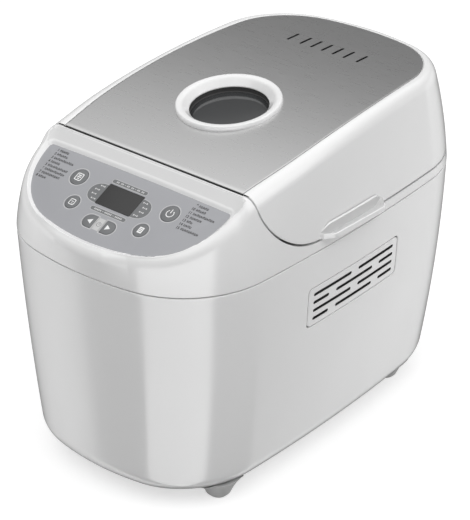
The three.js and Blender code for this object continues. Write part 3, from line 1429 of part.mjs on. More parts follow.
// Heater: one tube in through the front wall, round the floor and out again.
function heater() {
  const hx = CHAMBER_WIDTH / 2 - HEATER_FROM_WALL;
  const [y0, y1] = [CHAMBER_FRONT_Y + HEATER_FROM_WALL, CHAMBER_REAR_Y - HEATER_FROM_WALL];
  const r = HEATER_BEND_R;
  const t = HEATER_TERMINAL_X;
  const small = HEATER_FROM_WALL - 1;
  const path = new THREE.CurvePath();
  const at = (x, y) => new THREE.Vector3(x, y, HEATER_Z);
  const bend = (a, b, c) => path.add(new THREE.QuadraticBezierCurve3(a, b, c));
  const run = (a, b) => path.add(new THREE.LineCurve3(a, b));
  run(at(-t, CHAMBER_FRONT_Y - HEATER_TERMINAL_OUT), at(-t, y0 - small));
  bend(at(-t, y0 - small), at(-t, y0), at(-t - small, y0));
  run(at(-t - small, y0), at(-hx + r, y0));
  bend(at(-hx + r, y0), at(-hx, y0), at(-hx, y0 + r));
  run(at(-hx, y0 + r), at(-hx, y1 - r));
  bend(at(-hx, y1 - r), at(-hx, y1), at(-hx + r, y1));
  run(at(-hx + r, y1), at(hx - r, y1));
  bend(at(hx - r, y1), at(hx, y1), at(hx, y1 - r));
  run(at(hx, y1 - r), at(hx, y0 + r));
  bend(at(hx, y0 + r), at(hx, y0), at(hx - r, y0));
  run(at(hx - r, y0), at(t + small, y0));
  bend(at(t + small, y0), at(t, y0), at(t, y0 - small));
  run(at(t, y0 - small), at(t, CHAMBER_FRONT_Y - HEATER_TERMINAL_OUT));
  return tubeAlong(path.curves, HEATER_R, 8, 4);
}

// Round tube through a row of curves: a ring at each end of a straight one and steps along a bend.
function tubeAlong(curves, r, sides, bendSteps) {
  const stations = [];
  curves.forEach((curve, k) => {
    const steps = curve.isLineCurve3 ? 1 : bendSteps;
    for (let i = k === 0 ? 0 : 1; i <= steps; i += 1) {
      stations.push([curve.getPoint(i / steps), curve.getTangent(i / steps).normalize()]);
    }
  });
  const up = new THREE.Vector3(0, 0, 1);
  const rings = stations.map(([centre, tangent]) => {
    const across = new THREE.Vector3().crossVectors(tangent, up).normalize();
    const over = new THREE.Vector3().crossVectors(across, tangent);
    return Array.from({ length: sides }, (_, i) => {
      const a = (2 * Math.PI * i) / sides;
      return centre.clone().addScaledVector(across, r * Math.cos(a)).addScaledVector(over, r * Math.sin(a));
    });
  });
  return tubeSolid(rings);
}

// Like loft, with each end closed by a fan, so that the ends may face any way.
function tubeSolid(rings) {
  const count = rings[0].length;
  const positions = rings.flat().flatMap((p) => [p.x, p.y, p.z]);
  const index = [];
  for (let r = 0; r < rings.length - 1; r += 1) {
    const [low, high] = [r * count, (r + 1) * count];
    for (let i = 0; i < count; i += 1) {
      const j = (i + 1) % count;
      index.push(low + i, low + j, high + j, low + i, high + j, high + i);
    }
  }
  const last = (rings.length - 1) * count;
  for (let i = 1; i < count - 1; i += 1) {
    index.push(0, i + 1, i, last, last + i, last + i + 1);
  }
  const geometry = new THREE.BufferGeometry();
  geometry.setAttribute('position', new THREE.Float32BufferAttribute(positions, 3));
  geometry.setIndex(index);
  return facingOut(geometry);
}

addPiece('heating_element', heater(), HEATER_STEEL);

// Sensor: a probe through the chamber's front wall with a collar outside.
function sensor() {
  const tip = CHAMBER_FRONT_Y + SENSOR_LENGTH / 2;
  const probe = bolt(SENSOR_X, tip - SENSOR_LENGTH, tip, SENSOR_Z, SENSOR_R, 16);
  const collarY = CHAMBER_FRONT_Y - CHAMBER_WALL - GAP;
  const collar = bolt(SENSOR_X, collarY - 3, collarY, SENSOR_Z, 2 * SENSOR_R, 16);
  return join(probe, collar);
}

addPiece('temperature_sensor', sensor(), PIN_STEEL);

// ---------------------------------------------------------------------------------------------
// Chassis, motor and drive
// ---------------------------------------------------------------------------------------------

const PULLEY_TOP_Z = PULLEY_Z + PULLEY_WIDTH;
const BUSH_TOP_Z = FLOOR_TOP_Z + BUSH_ABOVE_FLOOR;
const DOG_Z = BUSH_TOP_Z + GAP;

// Chassis: a folded steel table over the base plate that carries the chamber and the motor.
function chassis() {
  const [y0, y1] = [FRONT_Y + CHASSIS_FROM_FRONT, CHAMBER_Y + CHASSIS_REAR_REACH];
  const legY = y0 + CHASSIS_OVERHANG;
  const half = CHASSIS_WIDTH / 2;
  const table = box(-half, half, y0, y1, CHASSIS_Z, CHASSIS_Z + CHASSIS_THICK);
  const legs = [1, -1].flatMap((side) => {
    const [a, b] = [side * half, side * (half - CHASSIS_THICK)];
    const leg = box(Math.min(a, b), Math.max(a, b), legY, y1, BASE_TOP_Z + GAP, CHASSIS_Z + CHASSIS_THICK);
    const [c, d] = [side * (half - CHASSIS_THICK / 2), side * (half + CHASSIS_FOOT)];
    const z = BASE_TOP_Z + GAP;
    const foot = box(Math.min(c, d), Math.max(c, d), legY, y1, z, z + CHASSIS_THICK);
    return [leg, foot];
  });
  const bushHole = post(0, CHAMBER_Y, 0, FAR, SPINDLE_BUSH_R + GAP);
  const motorHole = post(MOTOR_X, MOTOR_Y, 0, FAR, 3 * MOTOR_SHAFT_R);
  return cut(join(table, ...legs), bushHole, motorHole);
}

addPiece('chassis', chassis(), GALVANISED);

// Bush: a sleeve from the chassis through the chamber floor, with a flange between them.
function spindleBush() {
  const sleeve = post(0, CHAMBER_Y, CHASSIS_Z - BUSH_BELOW_CHASSIS, BUSH_TOP_Z, SPINDLE_BUSH_R);
  const flangeZ = CHASSIS_Z + CHASSIS_THICK + GAP;
  const flange = post(0, CHAMBER_Y, flangeZ, CHAMBER_FLOOR_Z - GAP, SPINDLE_BUSH_R + BUSH_FLANGE);
  return cut(join(sleeve, flange), post(0, CHAMBER_Y, 0, FAR, SPINDLE_R + GAP));
}

addPiece('spindle_bush', spindleBush(), PIN_STEEL);

// Spindle with its driving dog at the top, under the pan.
function driveSpindle() {
  const shaft = post(0, CHAMBER_Y, PULLEY_Z - 2, DOG_Z + DOG_HEIGHT, SPINDLE_R);
  const hub = post(0, CHAMBER_Y, DOG_Z, DOG_Z + DOG_HEIGHT, DOG_HUB_R);
  const [dx, dy] = [DOG_LENGTH / 2, DOG_WIDTH / 2];
  const bar = box(-dx, dx, CHAMBER_Y - dy, CHAMBER_Y + dy, DOG_Z, DOG_Z + DOG_HEIGHT);
  return join(shaft, hub, bar);
}

addPiece('drive_spindle', driveSpindle(), PIN_STEEL);

// Belt pulley: two flanges with the belt's track between, and a bore for its shaft.
function pulley(x, y, r, bore, sides) {
  const half = (PULLEY_WIDTH - BELT_WIDTH) / 2 - GAP;
  const profile = [
    [bore + GAP, PULLEY_Z],
    [r + PULLEY_FLANGE, PULLEY_Z],
    [r + PULLEY_FLANGE, PULLEY_Z + half],
    [r, PULLEY_Z + half],
    [r, PULLEY_TOP_Z - half],
    [r + PULLEY_FLANGE, PULLEY_TOP_Z - half],
    [r + PULLEY_FLANGE, PULLEY_TOP_Z],
    [bore + GAP, PULLEY_TOP_Z],
    [bore + GAP, PULLEY_Z],
  ];
  return turned(profile, sides).translate([x, y, 0]);
}

addPiece('drive_pulley', pulley(0, CHAMBER_Y, DRIVE_PULLEY_R, SPINDLE_R, ROUND), BLACK_PLASTIC);
addPiece('motor_pulley', pulley(MOTOR_X, MOTOR_Y, MOTOR_PULLEY_R, MOTOR_SHAFT_R, SMALL_ROUND), ALUMINIUM);

// Outline round both pulleys at a distance from their tracks.
function beltOutline(out) {
  const big = new THREE.Vector2(0, CHAMBER_Y);
  const small = new THREE.Vector2(MOTOR_X, MOTOR_Y);
  const [rb, rs] = [DRIVE_PULLEY_R + out, MOTOR_PULLEY_R + out];
  const heading = Math.atan2(small.y - big.y, small.x - big.x);
  const lean = Math.acos((rb - rs) / big.distanceTo(small));
  const arc = (centre, r, from, to, steps) => Array.from({ length: steps + 1 }, (_, i) => {
    const a = from + ((to - from) * i) / steps;
    return new THREE.Vector2(centre.x + r * Math.cos(a), centre.y + r * Math.sin(a));
  });
  return [
    ...arc(big, rb, heading + lean, heading - lean + 2 * Math.PI, 20),
    ...arc(small, rs, heading - lean, heading + lean, 8),
  ];
}

function driveBelt() {
  const z = (PULLEY_Z + PULLEY_TOP_Z - BELT_WIDTH) / 2;
  const facet = 0.5;                // the belt's chords stay clear of the round track
  const outer = prism(beltOutline(facet + GAP + BELT_THICK), z, z + BELT_WIDTH);
  return cut(outer, prism(beltOutline(facet + GAP), z - 1, z + BELT_WIDTH + 1));
}

addPiece('drive_belt', driveBelt(), BELT_RUBBER);

const MOTOR_Z = CHASSIS_Z + CHASSIS_THICK + GAP;

// Motor: a lamination stack between two round end caps, standing on the chassis.
function motor() {
  const [hx, hy] = [MOTOR_WIDTH / 2, MOTOR_LENGTH / 2];
  const low = post(MOTOR_X, MOTOR_Y, MOTOR_Z, MOTOR_Z + MOTOR_CAP_HEIGHT, MOTOR_CAP_R, MOTOR_CAP_R, ROUND);
  const stackZ = MOTOR_Z + MOTOR_CAP_HEIGHT - 1;
  const stack = box(MOTOR_X - hx, MOTOR_X + hx, MOTOR_Y - hy, MOTOR_Y + hy, stackZ, stackZ + MOTOR_STACK);
  const topZ = stackZ + MOTOR_STACK - 1;
  const high = post(MOTOR_X, MOTOR_Y, topZ, topZ + MOTOR_CAP_HEIGHT, MOTOR_CAP_R, MOTOR_CAP_R * 0.8, ROUND);
  const bore = post(MOTOR_X, MOTOR_Y, 0, topZ + MOTOR_CAP_HEIGHT - 3, MOTOR_SHAFT_R + GAP);
  return cut(join(low, stack, high), bore);
}

addPiece('motor', motor(), GALVANISED);

addPiece(
  'motor_shaft',
  post(MOTOR_X, MOTOR_Y, PULLEY_Z - 2, MOTOR_Z + 2 * MOTOR_CAP_HEIGHT, MOTOR_SHAFT_R),
  PIN_STEEL,
);

// Power board: a board on posts with a transformer, a relay and a capacitor.
function powerBoard() {
  const z = BASE_TOP_Z + POWER_POST_HEIGHT + GAP;
  const top = z + BOARD_THICK;
  const board = prism(roundedRect(POWER_BOARD_WIDTH, POWER_BOARD_LENGTH, 2, 0, POWER_BOARD_Y, 1), z, top);
  const partBox = (x, y, w, l, h) => box(x - w / 2, x + w / 2, y - l / 2, y + l / 2, top - GAP, top + h);
  const capacitorY = POWER_BOARD_Y + CAPACITOR_BACK;
  return join(
    board,
    partBox(TRANSFORMER_X, POWER_BOARD_Y, TRANSFORMER_WIDTH, TRANSFORMER_LENGTH, POWER_PART_HEIGHT),
    partBox(RELAY_X, POWER_BOARD_Y - RELAY_FORWARD, RELAY_WIDTH, RELAY_LENGTH, POWER_PART_HEIGHT * 0.8),
    post(CAPACITOR_X, capacitorY, top - GAP, top + POWER_PART_HEIGHT, CAPACITOR_R, CAPACITOR_R, 16),
  );
}

addPiece('power_board', powerBoard(), BOARD_GREEN);

// ---------------------------------------------------------------------------------------------
// Pan, shaft, paddle and bail
// ---------------------------------------------------------------------------------------------

// Socket ring on the chamber floor that the pan's foot stands in.
function panSocket() {
  const r = PAN_FOOT_R + 2 * GAP;
  const [low, out] = [FLOOR_TOP_Z + GAP, r + SOCKET_WALL];
  const ring = post(0, CHAMBER_Y, low, low + SOCKET_HEIGHT, out, out, ROUND);
  return cut(ring, post(0, CHAMBER_Y, 0, FAR, r, r, ROUND));
}

addPiece('pan_socket', panSocket(), GALVANISED);

function panFoot() {
  const top = PAN_FOOT_Z + PAN_FOOT_HEIGHT;
  const ring = post(0, CHAMBER_Y, PAN_FOOT_Z, top, PAN_FOOT_R, PAN_FOOT_R, ROUND);
  return cut(ring, post(0, CHAMBER_Y, 0, FAR, PAN_FOOT_R - PAN_FOOT_WALL, PAN_FOOT_R - PAN_FOOT_WALL, ROUND));
}

addPiece('pan_foot', panFoot(), ALUMINIUM);

const PAN_BUSH_R = PAN_SHAFT_R + GAP + PAN_BUSH_WALL;

// Pan: a tapered loaf tin with a rolled rim, and a stud at each end for the bail.
function pan() {
  const ring = (grow, z, r = PAN_CORNER_R) => {
    const [width, length] = [PAN_WIDTH + 2 * grow, PAN_LENGTH + 2 * grow];
    return atHeight(roundedRect(width, length, Math.max(r + grow, 3), 0, CHAMBER_Y), z);
  };
  const lowR = PAN_CORNER_R - 2;
  const tin = loft([
    ring(-PAN_TAPER - 5, PAN_BOTTOM_Z, lowR),
    ring(-PAN_TAPER, PAN_BOTTOM_Z + 5, lowR),
    ring(0, PAN_RIM_Z - 2 * PAN_BEAD),
    ring(PAN_BEAD, PAN_RIM_Z - 2 * PAN_BEAD),
    ring(PAN_BEAD, PAN_RIM_Z),
    ring(-PAN_WALL, PAN_RIM_Z),
    ring(-PAN_TAPER - PAN_WALL, PAN_BOTTOM_Z + 5 + PAN_WALL, lowR),
    ring(-PAN_TAPER - 5 - PAN_WALL, PAN_BOTTOM_Z + 2 * PAN_WALL, lowR),
  ]);
  const studs = [1, -1].map((end) => {
    const face = CHAMBER_Y + (end * PAN_LENGTH) / 2;
    const [a, b] = [face - end * 2, face + end * (PAN_BEAD + BAIL_PIVOT_STUD)];
    return bolt(0, Math.min(a, b), Math.max(a, b), BAIL_Z, BAIL_PIVOT_STUD_R);
  });
  const inside = loft([
    ring(-PAN_TAPER - 5 - PAN_WALL, PAN_BOTTOM_Z + 2 * PAN_WALL, lowR),
    ring(-PAN_TAPER - PAN_WALL, PAN_BOTTOM_Z + 5 + PAN_WALL, lowR),
    ring(-PAN_WALL, PAN_RIM_Z),
  ]);
  const bushHole = post(0, CHAMBER_Y, 0, PAN_BOTTOM_Z + 10, PAN_BUSH_R + GAP);
  return cut(join(tin, ...studs), inside, bushHole);
}

addPiece('bread_pan', pan(), NON_STICK);

const WING_TOP_Z = DOG_Z + DOG_HEIGHT + 2 * GAP + 2;
const PADDLE_Z = PAN_BOTTOM_Z + 2 * PAN_WALL + 5;

function panBush() {
  const sleeve = post(0, CHAMBER_Y, WING_TOP_Z + GAP, PADDLE_Z - 1, PAN_BUSH_R);
  return cut(sleeve, post(0, CHAMBER_Y, 0, FAR, PAN_SHAFT_R + GAP));
}

addPiece('pan_bush', panBush(), PIN_STEEL);

// Pan shaft with a disc and two wings below that the driving dog turns.
function panShaft() {
  const shaft = post(0, CHAMBER_Y, WING_TOP_Z - 2, PADDLE_Z + PADDLE_HUB_HEIGHT - 4, PAN_SHAFT_R);
  const disc = post(0, CHAMBER_Y, WING_TOP_Z - 2, WING_TOP_Z, WING_OUTER_R);
  const wings = [1, -1].map((side) => {
    const [a, b] = [side * WING_INNER_R, side * WING_OUTER_R * 0.92];
    return box(
      -WING_WIDTH / 2, WING_WIDTH / 2,
      CHAMBER_Y + Math.min(a, b), CHAMBER_Y + Math.max(a, b), DOG_Z + 1, WING_TOP_Z - 1,
    );
  });
  return join(shaft, disc, ...wings);
}

addPiece('pan_shaft', panShaft(), PIN_STEEL);

// Paddle: a hub that drops over the shaft, and a blade to one side that falls towards its tip.
function paddle() {
  const hub = post(0, CHAMBER_Y, PADDLE_Z, PADDLE_Z + PADDLE_HUB_HEIGHT, PADDLE_HUB_R, PADDLE_HUB_R * 0.75);
  const side = [
    new THREE.Vector2(0, PADDLE_Z),
    new THREE.Vector2(PADDLE_BLADE_REACH, PADDLE_Z),
    new THREE.Vector2(PADDLE_BLADE_REACH, PADDLE_Z + PADDLE_BLADE_HEIGHT * 0.4),
    new THREE.Vector2(PADDLE_BLADE_REACH * 0.75, PADDLE_Z + PADDLE_BLADE_HEIGHT),
    new THREE.Vector2(0, PADDLE_Z + PADDLE_BLADE_HEIGHT * 0.8),
  ];
  const blade = sideProfile(side, -PADDLE_BLADE_THICK / 2, PADDLE_BLADE_THICK / 2).translate([0, CHAMBER_Y, 0]);
  const bore = post(0, CHAMBER_Y, 0, PADDLE_Z + PADDLE_HUB_HEIGHT - 3, PAN_SHAFT_R + GAP);
  return cut(join(hub, blade), bore);
}

addPiece('kneading_paddle', paddle(), NON_STICK);

// Bail: a wire hoop with an eye on each stud. At rest it lies on the pan's right rim.
const BAIL_END_Y = PAN_LENGTH / 2 + PAN_BEAD + GAP + BAIL_WIRE_R;
const BAIL_EYE_R = BAIL_PIVOT_STUD_R + GAP + 2;

function bail() {
  const lift = BAIL_PIVOT_BELOW_RIM + BAIL_WIRE_R + 3 * GAP;
  const run = Math.sqrt(BAIL_ARM ** 2 - lift ** 2);
  const at = (share, side) => {
    return new THREE.Vector3(run * share, CHAMBER_Y + side * BAIL_END_Y, BAIL_Z + lift * share);
  };
  const bend = 10;
  const cross = (side) => new THREE.Vector3(run, CHAMBER_Y + side * (BAIL_END_Y - bend), BAIL_Z + lift);
  const near = 1 - bend / BAIL_ARM;
  const curves = [
    new THREE.LineCurve3(at(0.04, -1), at(near, -1)),
    new THREE.QuadraticBezierCurve3(at(near, -1), at(1, -1), cross(-1)),
    new THREE.LineCurve3(cross(-1), cross(1)),
    new THREE.QuadraticBezierCurve3(cross(1), at(1, 1), at(near, 1)),
    new THREE.LineCurve3(at(near, 1), at(0.04, 1)),
  ];
  const wire = tubeAlong(curves, BAIL_WIRE_R, 8, 4);
  const eyes = [1, -1].map((side) => {
    const y = CHAMBER_Y + side * BAIL_END_Y;
    return bolt(0, y - BAIL_WIRE_R, y + BAIL_WIRE_R, BAIL_Z, BAIL_EYE_R);
  });
  const holes = bolt(0, CHAMBER_Y - FAR, CHAMBER_Y + FAR, BAIL_Z, BAIL_PIVOT_STUD_R + GAP);
  return cut(join(wire, ...eyes), holes);
}

addPiece('pan_bail', bail(), PIN_STEEL);

export default breadMachine;
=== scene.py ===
"""Looks of a household bread machine: glossy white body and domed lid, brushed steel plate, grey key
panel. Lengths are in millimetres until a mesh is made; the front is -Y and Z is up."""

import math

import bmesh
import bpy
import numpy as np
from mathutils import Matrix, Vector


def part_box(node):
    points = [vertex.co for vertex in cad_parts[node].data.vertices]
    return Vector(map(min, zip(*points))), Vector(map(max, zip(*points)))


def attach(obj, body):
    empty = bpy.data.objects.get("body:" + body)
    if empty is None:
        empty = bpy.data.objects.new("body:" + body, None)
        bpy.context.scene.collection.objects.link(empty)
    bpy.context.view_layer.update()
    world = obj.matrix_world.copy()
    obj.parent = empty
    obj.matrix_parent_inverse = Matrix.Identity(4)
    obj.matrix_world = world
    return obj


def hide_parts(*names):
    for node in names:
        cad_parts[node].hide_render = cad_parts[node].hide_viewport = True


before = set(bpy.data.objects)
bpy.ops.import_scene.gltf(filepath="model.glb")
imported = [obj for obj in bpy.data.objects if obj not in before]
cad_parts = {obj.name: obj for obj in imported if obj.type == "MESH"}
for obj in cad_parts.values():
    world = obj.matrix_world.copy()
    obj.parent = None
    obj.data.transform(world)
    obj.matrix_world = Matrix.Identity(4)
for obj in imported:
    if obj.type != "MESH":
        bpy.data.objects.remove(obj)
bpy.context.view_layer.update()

MM = 0.001
PI = math.pi


def node_box(node):
    """Lowest and highest corner of a CAD node in millimetres."""
    low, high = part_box(node)
    return np.array(low) / MM, np.array(high) / MM


# ---- Sizes ----

shell_low, shell_high = node_box("lower_shell")
chamber_low, chamber_high = node_box("oven_chamber")
FRONT_Y, REAR_Y = shell_low[1], shell_high[1]
DEPTH = REAR_Y - FRONT_Y
HALF_WIDTH = shell_high[0]
BOTTOM_Z = shell_low[2]
SEAM_Z = node_box("upper_housing")[0][2]
HEIGHT = SEAM_Z - BOTTOM_Z
RIM_Z = SEAM_Z + 8
DECK_Z = RIM_Z - 4.5
PARTING = 1.1  # gap between housing and lid
SEAM_GAP = 1.05  # gap between lower shell and housing
EDGE = 0.45  # rounding of the parting edges
ARCH_R = 1052.0  # the lid's arch from front to back, and its highest point as (y, z)
ARCH_TOP = (REAR_Y - 84.7, RIM_Z + 80.4)
CONSOLE_REAR_Y = FRONT_Y + 83.1
LID_Y = CONSOLE_REAR_Y + PARTING
SHOULDER_REACH, SHOULDER_DROP = 11.0, 10.0  # the shoulder's half axes, across and down
BOTTOM_ROUND = 17.0
TILT = math.radians(26.6)  # the panel's slope, and its middle
PANEL_Y, PANEL_Z = FRONT_Y + 48.4, SEAM_Z + 42
LIP = 2.5  # how far the console's rim stands out of the panel
LEDGE = 2.2  # width of the steep bank next to the panel
WALL = 2.6  # thickness of the shells
WINDOW_Y = FRONT_Y + 176.5
HINGE_Y, HINGE_Z, HINGE_R = REAR_Y - 0.5, RIM_Z + 1.5, 4
CHAMBER_Y = (chamber_low[1] + chamber_high[1]) / 2
MOUTH_HALF = np.array([chamber_high[0] - 3, (chamber_high[1] - chamber_low[1]) / 2 - 3])
MOUTH_R = 28.0  # corners of the deck's mouth over the chamber


def smoothstep(x, low, high):
    """0 below low, 1 above high, and the cubic 3t^2 - 2t^3 between."""
    t = np.clip((x - low) / (high - low), 0, 1)
    return t * t * (3 - 2 * t)


def lerp(a, b, t):
    """The value a share t of the way from a to b."""
    return a + (b - a) * t


def smooth_min(a, b, k):
    """The lesser of a and b with the crease between them rounded over about k."""
    low = np.minimum(a, b)
    return low - k * np.log(np.exp(-(a - low) / k) + np.exp(-(b - low) / k))


def raised(flat, z):
    """Points (x, y) with a height, which is one number or one for each."""
    return np.column_stack([flat, np.broadcast_to(z, len(flat))])


# ---- Plans: five tangent arcs from the front middle round the right side to the rear middle ----


def touching_arc(c1, r1, c2, r2, r, hint):
    """Centre of the arc of radius r that touches two larger arcs from inside, on the side of hint."""
    gap = c2 - c1
    d = np.hypot(*gap)
    along = ((r1 - r) ** 2 - (r2 - r) ** 2 + d * d) / (2 * d)
    off = math.sqrt(max((r1 - r) ** 2 - along ** 2, 0))
    u = gap / d
    foot = c1 + u * along
    side = np.array([-u[1], u[0]]) * off
    return max((foot + side, foot - side), key=lambda p: p @ np.array(hint))


def plan(half_width, widest_y, side_r, front_y, front_r, front_corner_r, rear_y, rear_r, rear_corner_r,
         waist=0.0):
    """Function of a, from 0 at the front middle to 5 at the rear middle. Each whole step of a is one
    arc: front, front corner, side, rear corner and rear. A waist draws x in by that share of a bell
    curve about the console's rear edge."""
    side = np.array([half_width - side_r, widest_y])
    front = np.array([0.0, front_y + front_r])
    rear = np.array([0.0, rear_y - rear_r])
    corner1 = touching_arc(side, side_r, front, front_r, front_corner_r, (1, -0.3))
    corner2 = touching_arc(side, side_r, rear, rear_r, rear_corner_r, (1, 0.3))

    def bearing(p, q):
        return math.atan2(q[1] - p[1], q[0] - p[0])

    turns = [-PI / 2, bearing(front, corner1), bearing(side, corner1), bearing(side, corner2),
             bearing(rear, corner2), PI / 2]
    centres = np.array([front, corner1, side, corner2, rear])
    radii = np.array([front_r, front_corner_r, side_r, rear_corner_r, rear_r])
    start, end = np.array(turns[:-1]), np.array(turns[1:])

    def at(a):
        a = np.asarray(a, float)
        k = np.clip(np.floor(a).astype(int), 0, 4)
        turn = start[k] + (end[k] - start[k]) * (a - k)
        x = centres[k, 0] + radii[k] * np.cos(turn)
        y = centres[k, 1] + radii[k] * np.sin(turn)
        return np.stack([x * (1 - waist * np.exp(-((y - CONSOLE_REAR_Y) / 34) ** 2)), y], -1)

    return at


def shrunk(spec, by):
    """The same plan moved inwards by one distance all round."""
    signs = dict(half_width=-1, side_r=-1, front_y=1, front_r=-1, front_corner_r=-1, rear_y=-1, rear_r=-1,
                 rear_corner_r=-1)
    return {key: value + signs.get(key, 0) * by for key, value in spec.items()}


WAIST = 0.022
BELT_SPEC = dict(half_width=HALF_WIDTH, widest_y=FRONT_Y + 141, side_r=1592, front_y=FRONT_Y, front_r=284,
                 front_corner_r=80, rear_y=REAR_Y, rear_r=284, rear_corner_r=93)
CROWN_SPEC = dict(half_width=HALF_WIDTH - 17.7, widest_y=FRONT_Y + 141, side_r=3500, front_y=FRONT_Y + 9.3,
                  front_r=262, front_corner_r=72, rear_y=REAR_Y - 32.2, rear_r=240, rear_corner_r=66,
                  waist=WAIST)
PLATE_SPEC = dict(half_width=HALF_WIDTH - 19.6, widest_y=FRONT_Y + 170, side_r=1300, front_y=FRONT_Y + 9.3,
                  front_r=262, front_corner_r=72, rear_y=REAR_Y - 34.1, rear_r=220, rear_corner_r=64,
                  waist=WAIST)
PANEL_SPEC = dict(half_width=95, widest_y=20, side_r=585, front_y=-42.7, front_r=220, front_corner_r=60.0,
                  rear_y=26.1, rear_r=4000, rear_corner_r=3.0)
BELT = plan(**BELT_SPEC)
CROWN = plan(**CROWN_SPEC)
POCKET = plan(**shrunk(CROWN_SPEC, 3))


def steps(counts):
    """Values of a along the right side, with so many steps on each arc."""
    return np.concatenate([k + np.arange(n) / n for k, n in enumerate(counts)] + [[5.0]])


def whole(at, counts):
    """Closed plan anticlockwise from the front middle, with so many steps on each arc."""
    right = at(steps(counts))
    return np.concatenate([right, right[1:-1][::-1] * [-1, 1]])


def nearest(points, loop):
    """Nearest point of a closed loop to each point, and the unit direction out of the loop there."""
    start, end = loop, np.roll(loop, -1, 0)
    span = end - start
    length2 = (span ** 2).sum(-1)
    t = ((points[:, None] - start[None]) * span[None]).sum(-1) / length2
    foot = start[None] + np.clip(t, 0, 1)[..., None] * span[None]
    gap2 = ((points[:, None] - foot) ** 2).sum(-1)
    k = gap2.argmin(1)
    rows = np.arange(len(points))
    out = np.stack([span[k, 1], -span[k, 0]], -1) / np.sqrt(length2[k])[:, None]
    return foot[rows, k], out


PANEL_LOOP = whole(plan(**PANEL_SPEC), (60, 60, 20, 24, 40))
SEAT = whole(plan(**shrunk(PLATE_SPEC, -0.7)), (50, 70, 160, 70, 50))

# ---- Heights and the body's skin ----


def arch_z(y):
    """The lid's arch: one long arc from front to back."""
    return ARCH_TOP[1] - ARCH_R + np.sqrt(ARCH_R ** 2 - (y - ARCH_TOP[0]) ** 2)


def crown_z(y):
    """Height of the upper edge: the console's lip in front, the arch behind, an eased rise between."""
    lip = PANEL_Z + (y - PANEL_Y) * math.tan(TILT) + LIP / math.cos(TILT)
    return lerp(lip, arch_z(y), smoothstep(y, CONSOLE_REAR_Y - 14.5, CONSOLE_REAR_Y - 2.5))


def skin(a, v):
    """Body above the seam. a runs round the plan. v is 0 at the seam and 1 at the top of the wall,
    which leans from the belt plan towards the crown plan; from 1 to 2 a quarter of an ellipse that
    starts along the wall's lean rounds the shoulder to the crown."""
    a, v = np.broadcast_arrays(np.asarray(a, float), np.asarray(v, float))
    belt, crown = BELT(a), CROWN(a)
    d = np.linalg.norm(belt - crown, axis=-1)
    reach = np.minimum(SHOULDER_REACH, d)
    wall = 1 - reach / d
    top = crown_z(crown[..., 1])
    rise = top - SHOULDER_DROP - SEAM_Z
    lean = 1.5 * wall * d / rise
    start = np.arctan(lean * SHOULDER_DROP / reach)
    for _ in range(10):
        start = np.arctan(lean * SHOULDER_DROP * np.cos(start) / ((1 - np.sin(start)) * reach))
    w = np.clip(v, 0, 1)
    turn = start + (PI / 2 - start) * np.clip(v - 1, 0, 1)
    share = wall * (0.5 * w + 0.5 * w * w) + (1 - wall) * (np.cos(start) - np.cos(turn)) / np.cos(start)
    z = SEAM_Z + rise * w + SHOULDER_DROP * (np.sin(turn) - np.sin(start)) / (1 - np.sin(start))
    xy = belt + (crown - belt) * share[..., None]
    return np.concatenate([xy, z[..., None]], -1)


def skin_normal(a, v):
    """Unit normal of the skin, out of the body, from differences in a and v."""
    h = 1e-3
    a = np.clip(a, h, 5 - h)
    v = np.clip(v, h, 2 - h)
    n = np.cross(skin(a + h, v) - skin(a - h, v), skin(a, v + h) - skin(a, v - h))
    return n / np.linalg.norm(n, axis=-1, keepdims=True)


def halving(f, target, low, high):
    """Where the rising function f meets target, by halving the range."""
    low = np.full(np.shape(target), float(low))
    high = np.full(np.shape(target), float(high))
    for _ in range(36):
        mid = (low + high) / 2
        under = f(mid) < target
        low, high = np.where(under, mid, low), np.where(under, high, mid)
    return (low + high) / 2


def skin_place(y, z):
    """(a, v) of the skin's point on the right side at this y and z."""
    y, z = np.asarray(y, float), np.asarray(z, float)
    v = np.full(y.shape, 1.0)
    for _ in range(7):
        a = halving(lambda q: skin(q, v)[..., 1], y, 0.5, 4.95)
        v = halving(lambda q: skin(a, q)[..., 2], z, 0, 2)
    return a, v


def sweep(gap, count):
    """The parting line's sweep from the console's upper rear corner down to the rim, as a cubic
    Bezier curve in (y, z), and the unit direction across it towards the lid."""
    y0, z0 = CONSOLE_REAR_Y + gap, RIM_Z + gap
    top, steep, run, flat = arch_z(CONSOLE_REAR_Y), 27.4, 65.8, 34.2
    p = np.array([[y0, top], [y0 + 0.7, top - steep], [y0 + run - flat, z0], [y0 + run, z0]])
    t = (np.linspace(0, 1, count) ** 1.2)[:, None]
    s = 1 - t
    curve = s ** 3 * p[0] + 3 * s ** 2 * t * p[1] + 3 * s * t * t * p[2] + t ** 3 * p[3]
    slope = 3 * s ** 2 * (p[1] - p[0]) + 6 * s * t * (p[2] - p[1]) + 3 * t * t * (p[3] - p[2])
    slope /= np.linalg.norm(slope, axis=-1, keepdims=True)
    return curve, np.stack([-slope[:, 1], slope[:, 0]], -1)


def slope_axes(p):
    """Body axes to the panel's own: x, up the slope, and out of it."""
    dy, dz = p[..., 1] - PANEL_Y, p[..., 2] - PANEL_Z
    up = dy * math.cos(TILT) + dz * math.sin(TILT)
    return np.stack([p[..., 0], up, dz * math.cos(TILT) - dy * math.sin(TILT)], -1)


def body_axes(q):
    """The panel's axes back to the body's."""
    y = PANEL_Y + q[..., 1] * math.cos(TILT) - q[..., 2] * math.sin(TILT)
    z = PANEL_Z + q[..., 1] * math.sin(TILT) + q[..., 2] * math.cos(TILT)
    return np.stack([q[..., 0], y, z], -1)


